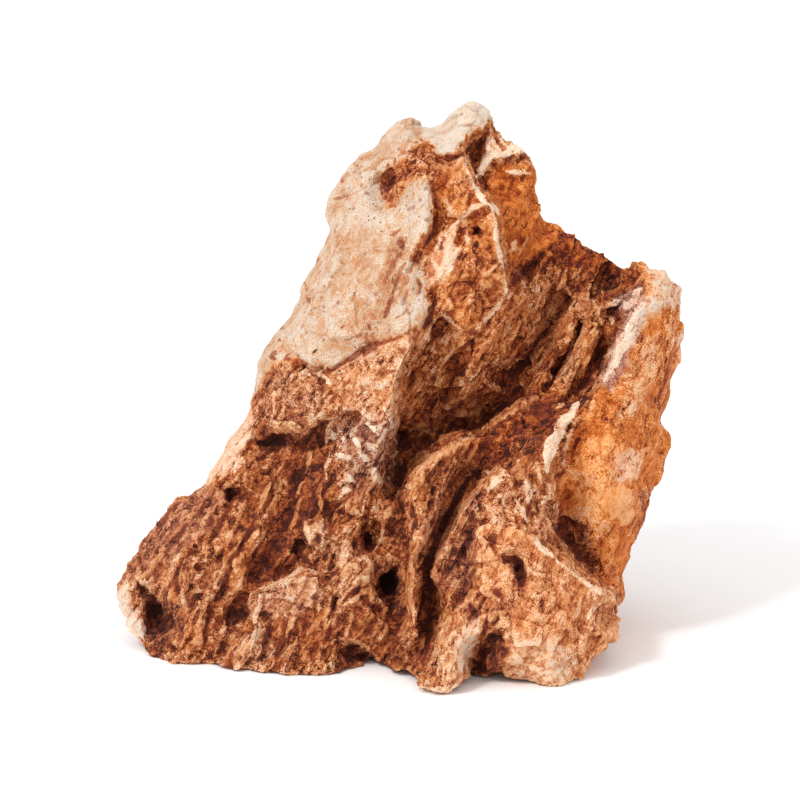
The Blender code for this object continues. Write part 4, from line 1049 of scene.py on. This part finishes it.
def smoothed(mesh, values, times):
    """Each point's values replaced by the mean of its neighbours' values, this many times."""
    ends = np.empty(len(mesh.edges) * 2, int)
    mesh.edges.foreach_get("vertices", ends)
    a, b = ends.reshape(-1, 2).T
    degree = np.bincount(ends)
    for _ in range(times):
        columns = [np.bincount(a, v[b], len(v)) + np.bincount(b, v[a], len(v)) for v in values.T]
        values = np.column_stack(columns) / degree[:, None]
    return values


def thinned(mesh, far, kept):
    """The mesh with about this many triangles kept on its far or near side, and the other untouched."""
    chosen = (smoothed(mesh, points_of(mesh)[1], 30) @ TO_VIEWER < -0.15) == far
    corners = np.empty(len(mesh.loops), int)
    mesh.loops.foreach_get("vertex_index", corners)
    sides = np.empty(len(mesh.polygons), int)
    mesh.polygons.foreach_get("loop_total", sides)
    starts = np.cumsum(sides) - sides
    whole = np.logical_and.reduceat(chosen[corners], starts)
    before, inside = (sides - 2).sum(), (sides - 2)[whole].sum()
    holder = bpy.data.objects.new("holder", mesh)
    bpy.context.scene.collection.objects.link(holder)
    holder.vertex_groups.clear()
    group = holder.vertex_groups.new(name="chosen")
    group.add(np.flatnonzero(chosen).tolist(), 1.0, "REPLACE")
    decimate = holder.modifiers.new("decimate", "DECIMATE")
    decimate.ratio = min(1.0, (before - inside + kept) / before)
    decimate.vertex_group = group.name
    made = bpy.data.meshes.new_from_object(holder.evaluated_get(bpy.context.evaluated_depsgraph_get()))
    bpy.data.objects.remove(holder)
    print("thinned", before, "to", sum(len(p.vertices) - 2 for p in made.polygons), "triangles")
    return made


surface = thinned(surface, True, FAR_TRIANGLES)
surface = thinned(surface, False, NEAR_TRIANGLES)
move_to(surface, np.clip(points_of(surface)[0], *np.array(CAD_BOX)))
rock = bpy.data.objects.new("rock_surface", surface)
bpy.context.scene.collection.objects.link(rock)
rock.vertex_groups.clear()
print("rock_surface:", len(surface.vertices), "points")

# %% [markdown]
# ## Crests and hollows
# Dust and rust wash off crests and gather in hollows, and the colour adds a painted highlight on
# crests and painted shade in hollows. How far each point stands above its neighbourhood is measured
# by smoothing a copy of the mesh and comparing the two.

# %% Crest height
places, normals = points_of(surface)
small = smoothed(surface, places, 1)
large = smoothed(surface, small, 9)
# A point that stands this far above its near or its wider surroundings counts as a full crest.
FULL_CREST_SMALL = 0.16 * MM
FULL_CREST_LARGE = 0.8 * MM
crest_small = np.clip(((places - small) * normals).sum(1) / FULL_CREST_SMALL, -1, 1)
crest_large = np.clip(((small - large) * normals).sum(1) / FULL_CREST_LARGE, -1, 1)
print("crest heights", crest_small.std().round(2), crest_large.std().round(2))

# %% [markdown]
# ## Telling the material what is where
# A material can read a number that is stored at each point of a mesh, called an attribute. The values that
# carved the stone are stored that way and painted from too, so colour and form agree: a vein that stands
# up is pale, and a pit is dark. The crest height is stored too, for dust and a painted highlight on
# crests and painted shade in hollows, and smooth quartz shows less of it than crusty stone.

# %% Write what the stone is made of on to the mesh
TOLD = (
    "tone", "grey", "fire", "quartz", "mottle", "rough",
    "pale_depth", "pale_tone", "dark_depth", "dark_tone", "crest",
)
there = made_of(places, normals)
# Crest height: crests are painted paler and hollows darker, partly dust and partly painted highlight and
# shade.
there["crest"] = (0.5 * crest_small + 0.5 * crest_large) * np.clip(there["rough"] * 1.2, 0.2, 1)
for name in TOLD:
    layer = surface.attributes.new(name, "FLOAT", "POINT")
    layer.data.foreach_set("value", there[name].astype(np.float32))
print("attributes:", ", ".join(TOLD))

# %% [markdown]
# ## The stone's finish
# Ironstone is sandstone cemented by iron oxide. Broken and weathered, it is dull and granular, and its
# colour runs from black-brown through rust and orange to cream, as the iron is thick or washed out.
# Vein quartz is cream and a little glossy, with thin stains and black specks. One material holds
# both, because on the real stone they grade into each other. The colour is one tone, read off a row
# of rust colours, and every grain and layer moves that tone up or down.

# %% Material helpers
def linear(code):
    """An sRGB hex colour as linear red, green, blue and alpha."""
    parts = [int(code[i : i + 2], 16) / 255 for i in (1, 3, 5)]
    return [p / 12.92 if p <= 0.04045 else ((p + 0.055) / 1.055) ** 2.4 for p in parts] + [1.0]


stone = bpy.data.materials.new("weathered_ironstone_and_vein_quartz")
stone.use_nodes = True
tree = stone.node_tree
shader = tree.nodes["Principled BSDF"]


def add(kind, inputs, output=0, **settings):
    """Adds a node with its settings, sets or links its inputs, and returns one output."""
    node = tree.nodes.new(kind)
    for name, value in settings.items():
        setattr(node, name, value)
    for key, value in inputs.items():
        if isinstance(value, bpy.types.NodeSocket):
            tree.links.new(value, node.inputs[key])
        else:
            node.inputs[key].default_value = value
    return node.outputs[output]


told = {name: add("ShaderNodeAttribute", {}, "Fac", attribute_name=name) for name in TOLD}
print("told by", len(told), "attributes")

# %% [markdown]
# ### Patterns of the grain
# Weathered ironstone is grit held together by iron oxide, in thin layers, with blotches where it is
# washed out and crumbs that cling to it. A photograph of stone could be laid on, but it would stretch on
# steep faces and show its seams. So noise is read in the mesh's own space, at real sizes. Real grit is
# about 0.2 mm, which is under a pixel here, so it is drawn at 0.42 mm.

# %% Layers, blotches, grit and crumbs
LAYER_GAP = 1.5 * MM
BLOTCH = 3.2 * MM
GRIT = 0.42 * MM
CRUMB = 1.4 * MM
where = add("ShaderNodeTexCoord", {}, "Object")
layer_place = add("ShaderNodeCombineXYZ", {
    axis: add("ShaderNodeVectorMath", {
        0: where, 1: tuple(LAYER_AXES[:, i]),
    }, "Value", operation="DOT_PRODUCT")
    for i, axis in enumerate("XYZ")
})
layers = add("ShaderNodeTexNoise", {
    "Vector": layer_place, "Scale": 1 / LAYER_GAP, "Detail": 4.0, "Roughness": 0.65,
})
mottle = add("ShaderNodeTexNoise", {"Vector": where, "Scale": 1 / BLOTCH, "Detail": 3.0, "Roughness": 0.65})
grit = add("ShaderNodeTexNoise", {"Vector": where, "Scale": 1 / GRIT, "Detail": 1.0, "Roughness": 0.6})
crumbs = add("ShaderNodeTexVoronoi", {"Vector": where, "Scale": 1 / CRUMB, "Randomness": 1.0}, "Distance")
crumb_kind = add("ShaderNodeSeparateColor", {"Color": crumbs.node.outputs["Color"]})
print("grain patterns:", len(tree.nodes), "nodes so far")

# %% [markdown]
# ### Fine cracks
# The crust parts into chips along fine cracks that hold dark dust. Real ones are about 0.1 mm wide and are
# drawn about twice as wide. The edges of Voronoi cells make such a net, but a straight-edged one. A
# slow noise bends the space first, and the larger cracks come and go with the blotches.

# %% Cracks between chips
CHIP = 2.4 * MM
SMALL_CHIP = 1.1 * MM
BEND_SIZE = 2.5 * MM
BEND_REACH = 1.6 * MM
bend = add("ShaderNodeTexNoise", {
    "Vector": where, "Scale": 1 / BEND_SIZE, "Detail": 2.0, "Roughness": 0.6,
}, "Color")
bend = add("ShaderNodeVectorMath", {0: bend, 1: (0.5, 0.5, 0.5)}, "Vector", operation="SUBTRACT")
bend = add("ShaderNodeVectorMath", {0: bend, "Scale": BEND_REACH}, "Vector", operation="SCALE")
bent = add("ShaderNodeVectorMath", {0: where, 1: bend}, "Vector", operation="ADD")
parting, fine_parting = (
    add("ShaderNodeTexVoronoi", {"Vector": bent, "Scale": 1 / size}, "Distance", feature="DISTANCE_TO_EDGE")
    for size in (CHIP, SMALL_CHIP)
)
crack = add("ShaderNodeMapRange", {"Value": parting, "From Min": 0.1, "From Max": 0.01})
fine_crack = add("ShaderNodeMapRange", {"Value": fine_parting, "From Min": 0.16, "From Max": 0.02})
some = add("ShaderNodeMapRange", {"Value": mottle, "From Min": 0.5, "From Max": 0.4})
crack = add("ShaderNodeMath", {0: crack, 1: some}, operation="MULTIPLY")
fine_crack = add("ShaderNodeMath", {0: fine_crack, 1: 0.25, 2: crack}, operation="MULTIPLY_ADD")
print("cracks every", CHIP / MM, "and", SMALL_CHIP / MM, "mm")

# %% [markdown]
# ### One tone for every point
# Iron stains the stone from black-brown to cream. Everything that varies the colour is added up to one
# number, the tone: what the patch says, a bit more on crests and less in hollows, for dust and as painted
# highlight and painted shade, and the grain. That is simpler than mixing many colours, and all of them
# stay in one family. Flecks are grit made crisp, and crevices are the lowest parts of the layers. Where
# the stone is smooth, the layers show less.

# %% Tone of the ironstone
fleck = add("ShaderNodeMapRange", {"Value": grit, "From Min": 0.44, "From Max": 0.56})
crevice = add("ShaderNodeMapRange", {"Value": layers, "From Min": 0.4, "From Max": 0.35})
streaky = add("ShaderNodeMapRange", {"Value": told["rough"], "From Max": 0.7, "To Min": 0.3, "To Max": 0.95})
banding = add("ShaderNodeMath", {0: layers, 1: -0.5}, operation="ADD")
banding = add("ShaderNodeMath", {0: banding, 1: streaky}, operation="MULTIPLY")
grain = add("ShaderNodeMath", {0: fleck, 1: 0.44, 2: -0.77}, operation="MULTIPLY_ADD")
for pattern, weight in (
    (crevice, -0.45), (banding, 1.0), (mottle, 1.1), (crumb_kind, 0.22), (fine_crack, -0.3),
):
    grain = add("ShaderNodeMath", {0: pattern, 1: weight, 2: grain}, operation="MULTIPLY_ADD")
grain = add("ShaderNodeMath", {0: grain, 1: told["mottle"]}, operation="MULTIPLY")
# Paler crests and darker hollows: washed-off and gathered dust, plus painted highlight and painted shade.
tone = add("ShaderNodeMath", {0: told["crest"], 1: 0.26, 2: told["tone"]}, operation="MULTIPLY_ADD")
tone = add("ShaderNodeMath", {0: grain, 1: 0.55, 2: tone}, operation="MULTIPLY_ADD")
print("tone:", len(tree.nodes), "nodes so far")

# %% [markdown]
# ### Veins and cracks that come and go
# A drawn stroke with a clean edge looks like paint. The real veins are broken by crumbs and crust, so the
# same grain is added to how deep a point lies in its stroke, and eats into it.

# %% Paint the strokes
STROKE_REACH = 1.2  # pixels; a point that is deeper in its stroke counts as this deep
for depth, paint in (("dark_depth", "dark_tone"), ("pale_depth", "pale_tone")):
    inward = add("ShaderNodeMath", {0: told[depth], 1: STROKE_REACH}, operation="MINIMUM")
    ragged = add("ShaderNodeMath", {0: grain, 1: 1.5, 2: inward}, operation="MULTIPLY_ADD")
    shown = add("ShaderNodeMapRange", {"Value": ragged, "From Min": -0.6, "From Max": 0.4})
    painted = add("ShaderNodeMath", {0: grain, 1: 0.4, 2: told[paint]}, operation="MULTIPLY_ADD")
    tone = add("ShaderNodeMix", {"Factor": shown, 2: tone, 3: painted}, data_type="FLOAT")
print("strokes painted")

# %% [markdown]
# ### Ironstone: the colours of rust
# Iron oxide is red-brown where it is thick, and orange to cream as it thins out and takes up water.
# Each row of colours runs that way. The plain one is for weathered crust, the hot one for fresh
# faces, and a patch's fire says how much of the hot one there is. Chalky crust is the same, with
# less colour.

# %% Rust colours
RUST_ROW = [
    (0.00, "#380f04"), (0.16, "#571f0b"), (0.32, "#803618"), (0.46, "#a4552a"),
    (0.60, "#c17542"), (0.72, "#d49966"), (0.84, "#e2b68c"), (1.00, "#f4ddc6"),
]
FIRE_ROW = [
    (0.00, "#380a01"), (0.16, "#561602"), (0.32, "#802d06"), (0.46, "#a54812"),
    (0.60, "#c4661f"), (0.72, "#d77e35"), (0.84, "#e69752"), (1.00, "#f3b57c"),
]


def fill_ramp(ramp, row):
    """Gives a colour ramp this row of places and colours."""
    while len(ramp.elements) < len(row):
        ramp.elements.new(0.5)
    for element, (at, code) in zip(ramp.elements, row):
        element.position = at
        element.color = linear(code)


plain = add("ShaderNodeValToRGB", {"Fac": tone}, "Color")
fill_ramp(plain.node.color_ramp, RUST_ROW)
fiery = add("ShaderNodeValToRGB", {"Fac": tone}, "Color")
fill_ramp(fiery.node.color_ramp, FIRE_ROW)
iron = add("ShaderNodeMix", {"Factor": told["fire"], 6: plain, 7: fiery}, 2, data_type="RGBA")
chalky = add("ShaderNodeHueSaturation", {"Color": iron, "Hue": 0.5, "Saturation": 0.45, "Value": 1.05})
iron = add("ShaderNodeMix", {"Factor": told["grey"], 6: iron, 7: chalky}, 2, data_type="RGBA")
print("ironstone:", len(RUST_ROW), "and", len(FIRE_ROW), "colours")

# %% [markdown]
# ### Quartz: cream, with tan stains
# Pure quartz is clear to white. Iron has seeped into this vein and made it cream, with wide tan stains and
# greyer places where it is cleaner. The same tone is read off a row of its own, and the stains lower it.

# %% Quartz colours
STAIN = 9 * MM
QUARTZ_ROW = [(0.45, "#8a4620"), (0.62, "#b06c3a"), (0.74, "#c08c5e"), (0.86, "#c29c7a"), (1.00, "#d6c3b0")]
CLEAN_QUARTZ = "#b9aea6"
stain = add("ShaderNodeTexNoise", {"Vector": where, "Scale": 1 / STAIN, "Detail": 4.0, "Roughness": 0.6})
clean = add("ShaderNodeMath", {0: stain, 1: -0.5, 2: 0.2}, operation="MULTIPLY_ADD")
clean = add("ShaderNodeMath", {0: tone, 1: clean}, operation="ADD")
clean = add("ShaderNodeMath", {0: fleck, 1: 0.07, 2: clean}, operation="MULTIPLY_ADD")
cloud = add("ShaderNodeMapRange", {"Value": mottle, "From Min": 0.42, "From Max": 0.62})
cloud = add("ShaderNodeMath", {0: cloud, 1: told["grey"]}, operation="MULTIPLY")
creamy = add("ShaderNodeValToRGB", {"Fac": clean}, "Color")
fill_ramp(creamy.node.color_ramp, QUARTZ_ROW)
quartz = add("ShaderNodeMix", {"Factor": cloud, 6: creamy, 7: linear(CLEAN_QUARTZ)}, 2, data_type="RGBA")
print("quartz:", len(QUARTZ_ROW), "colours")

# %% [markdown]
# ### Specks, hairlines and crumbs on the quartz
# Three small things mark the quartz: black specks of ore about 0.6 mm wide, hair-thin cracks that rust
# has crept into, and rusty crumbs about 1.3 mm wide. The cracks are drawn 0.4 mm wide, or they wouldn't
# show. Each kind is a Voronoi pattern. Specks and crumbs are the middles of its cells, and cracks are
# its cell edges, kept only where the quartz is stained.

# %% Specks, hairlines and crumbs
SPECK_GAP, SPECK_COLOUR = 2.0 * MM, "#34180c"
HAIR_GAP, HAIR_COLOUR = 9 * MM, "#a8602f"
SPOT_GAP, SPOT_COLOUR = 5 * MM, "#904a1c"
specks = add("ShaderNodeTexVoronoi", {"Vector": where, "Scale": 1 / SPECK_GAP, "Randomness": 1.0}, "Distance")
speck = add("ShaderNodeMapRange", {"Value": specks, "From Min": 0.18, "From Max": 0.13})
speck_kind = add("ShaderNodeSeparateColor", {"Color": specks.node.outputs["Color"]})
some = add("ShaderNodeMapRange", {"Value": speck_kind, "From Min": 0.5, "From Max": 0.7, "To Max": 0.95})
speck = add("ShaderNodeMath", {0: speck, 1: some}, operation="MULTIPLY")
quartz = add("ShaderNodeMix", {"Factor": speck, 6: quartz, 7: linear(SPECK_COLOUR)}, 2, data_type="RGBA")

hairs = add("ShaderNodeTexVoronoi", {
    "Vector": bent, "Scale": 1 / HAIR_GAP,
}, "Distance", feature="DISTANCE_TO_EDGE")
hair = add("ShaderNodeMapRange", {"Value": hairs, "From Min": 0.04, "From Max": 0.01, "To Max": 0.5})
stained = add("ShaderNodeMapRange", {"Value": stain, "From Min": 0.47, "From Max": 0.56})
hair = add("ShaderNodeMath", {0: hair, 1: stained}, operation="MULTIPLY")
quartz = add("ShaderNodeMix", {"Factor": hair, 6: quartz, 7: linear(HAIR_COLOUR)}, 2, data_type="RGBA")

spots = add("ShaderNodeTexVoronoi", {"Vector": bent, "Scale": 1 / SPOT_GAP, "Randomness": 1.0}, "Distance")
spot = add("ShaderNodeMath", {0: grain, 1: -0.25, 2: spots}, operation="MULTIPLY_ADD")
spot = add("ShaderNodeMapRange", {"Value": spot, "From Min": 0.17, "From Max": 0.09, "To Max": 0.7})
quartz = add("ShaderNodeMix", {"Factor": spot, 6: quartz, 7: linear(SPOT_COLOUR)}, 2, data_type="RGBA")
print("quartz marked:", len(tree.nodes), "nodes so far")

# %% [markdown]
# ### Where the quartz lies bare
# Rust crust covers the quartz in places, first where it is dark and dusty. So quartz shows where a patch
# has it and the tone and grain are high, and the change from one to the other is quick, as at the
# edge of a crust.

# %% Bare quartz over ironstone
bare = add("ShaderNodeMath", {0: tone, 1: 0.72, 2: told["quartz"]}, operation="MULTIPLY_ADD")
bare = add("ShaderNodeMath", {0: grain, 1: 0.9, 2: bare}, operation="MULTIPLY_ADD")
bare = add("ShaderNodeMapRange", {"Value": bare, "From Min": 1.16, "From Max": 1.40})
colour = add("ShaderNodeMix", {"Factor": bare, 6: iron, 7: quartz}, 2, data_type="RGBA")
tree.links.new(colour, shader.inputs["Base Color"])
print("colour:", len(tree.nodes), "nodes so far")

# %% [markdown]
# ### How dull it is, and the finest relief
# Weathered ironstone scatters light like dry soil, so it is 0.93 rough. A broken face of bare quartz has a
# soft gleam, about 0.5 rough, and quartz has an IOR of 1.54. Grit and crumbs are finer than the mesh, so a
# bump makes them catch the light. It is stronger where the stone is rough.

# %% Gloss and bump
DRY_CRUST_ROUGH, BROKEN_QUARTZ_ROUGH = 0.93, 0.5
QUARTZ_IOR = 1.54
GLEAM = 0.4  # the usual strength of the mirrored light is 0.5, and dust takes some of it
BUMP_DEPTH = 0.6 * MM
gloss = add("ShaderNodeMapRange", {"Value": bare, "To Min": DRY_CRUST_ROUGH, "To Max": BROKEN_QUARTZ_ROUGH})
tree.links.new(gloss, shader.inputs["Roughness"])
shader.inputs["IOR"].default_value = QUARTZ_IOR
shader.inputs["Specular IOR Level"].default_value = GLEAM
bumps = add("ShaderNodeMath", {0: crumbs, 1: -0.5, 2: grit}, operation="MULTIPLY_ADD")
for pattern, weight in ((layers, 0.8), (crumb_kind, 0.3), (fine_crack, -0.5), (crevice, -0.6)):
    bumps = add("ShaderNodeMath", {0: pattern, 1: weight, 2: bumps}, operation="MULTIPLY_ADD")
keenness = add("ShaderNodeMapRange", {"Value": told["rough"], "To Min": 0.3, "To Max": 0.9})
relief = add("ShaderNodeBump", {"Strength": keenness, "Distance": BUMP_DEPTH, "Height": bumps}, "Normal")
tree.links.new(relief, shader.inputs["Normal"])
print("finish:", len(tree.nodes), "nodes")

# %% [markdown]
# ## The surface takes the coarse stone's place
# The fine surface stands in for the coarse solid, moves with the same body and wears its material slot.

# %% Hand the surface over
surface.materials.clear()
surface.materials.append(stone)
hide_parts("rock")
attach(rock, "root")
print("rock_surface replaces", coarse_rock.name)

# %% [markdown]
# ## The floor
# The stone stands on matt white paper, wide enough that no edge of it is seen. The paper is 0.9 rough,
# so it mirrors nothing, and a little whiter than real paper, so that the ground stays blank.

# %% Floor
FLOOR = 3.0
floor_mesh = bpy.data.meshes.new("floor")
corners = [(-FLOOR, -FLOOR, 0), (FLOOR, -FLOOR, 0), (FLOOR, FLOOR, 0), (-FLOOR, FLOOR, 0)]
floor_mesh.from_pydata(corners, [], [(0, 1, 2, 3)])
floor = bpy.data.objects.new("floor", floor_mesh)
bpy.context.scene.collection.objects.link(floor)
paper = bpy.data.materials.new("matt_white_paper")
paper.use_nodes = True
paper_shader = paper.node_tree.nodes["Principled BSDF"]
paper_shader.inputs["Base Color"].default_value = linear("#fdfdfd")
paper_shader.inputs["Roughness"].default_value = 0.9
floor_mesh.materials.append(paper)
print("floor:", 2 * FLOOR, "m wide")

# %% [markdown]
# ## Light
# A soft lamp stands above and to the left of the viewer, so the slab and every ledge's upper side are
# bright and the valley falls into shade. A weak, wide lamp on the right and the pale room round it keep
# the shadows open. The standard view transform shows the white floor as white.

# %% Lamps and room
ROCK_MIDDLE = Vector((0, 0, 0.08))


def lamp(name, place, watts, size):
    """A square soft lamp that points at the rock."""
    light = bpy.data.lights.new(name, "AREA")
    light.energy = watts
    light.size = size
    holder = bpy.data.objects.new(name, light)
    bpy.context.scene.collection.objects.link(holder)
    holder.location = place
    holder.rotation_euler = (ROCK_MIDDLE - Vector(place)).to_track_quat("-Z", "Y").to_euler()


lamp("key_lamp", place=(-0.75, -0.75, 1.15), watts=11, size=0.28)
lamp("fill_lamp", place=(1.1, -0.8, 0.5), watts=1.0, size=0.8)
sky = bpy.data.worlds.new("pale_room")
bpy.context.scene.world = sky
sky.use_nodes = True
room = sky.node_tree.nodes["Background"]
room.inputs["Color"].default_value = (1, 1, 1, 1)
room.inputs["Strength"].default_value = 1.0
bpy.context.scene.view_settings.view_transform = "Standard"
print("lamps:", [light.name for light in bpy.data.lights])
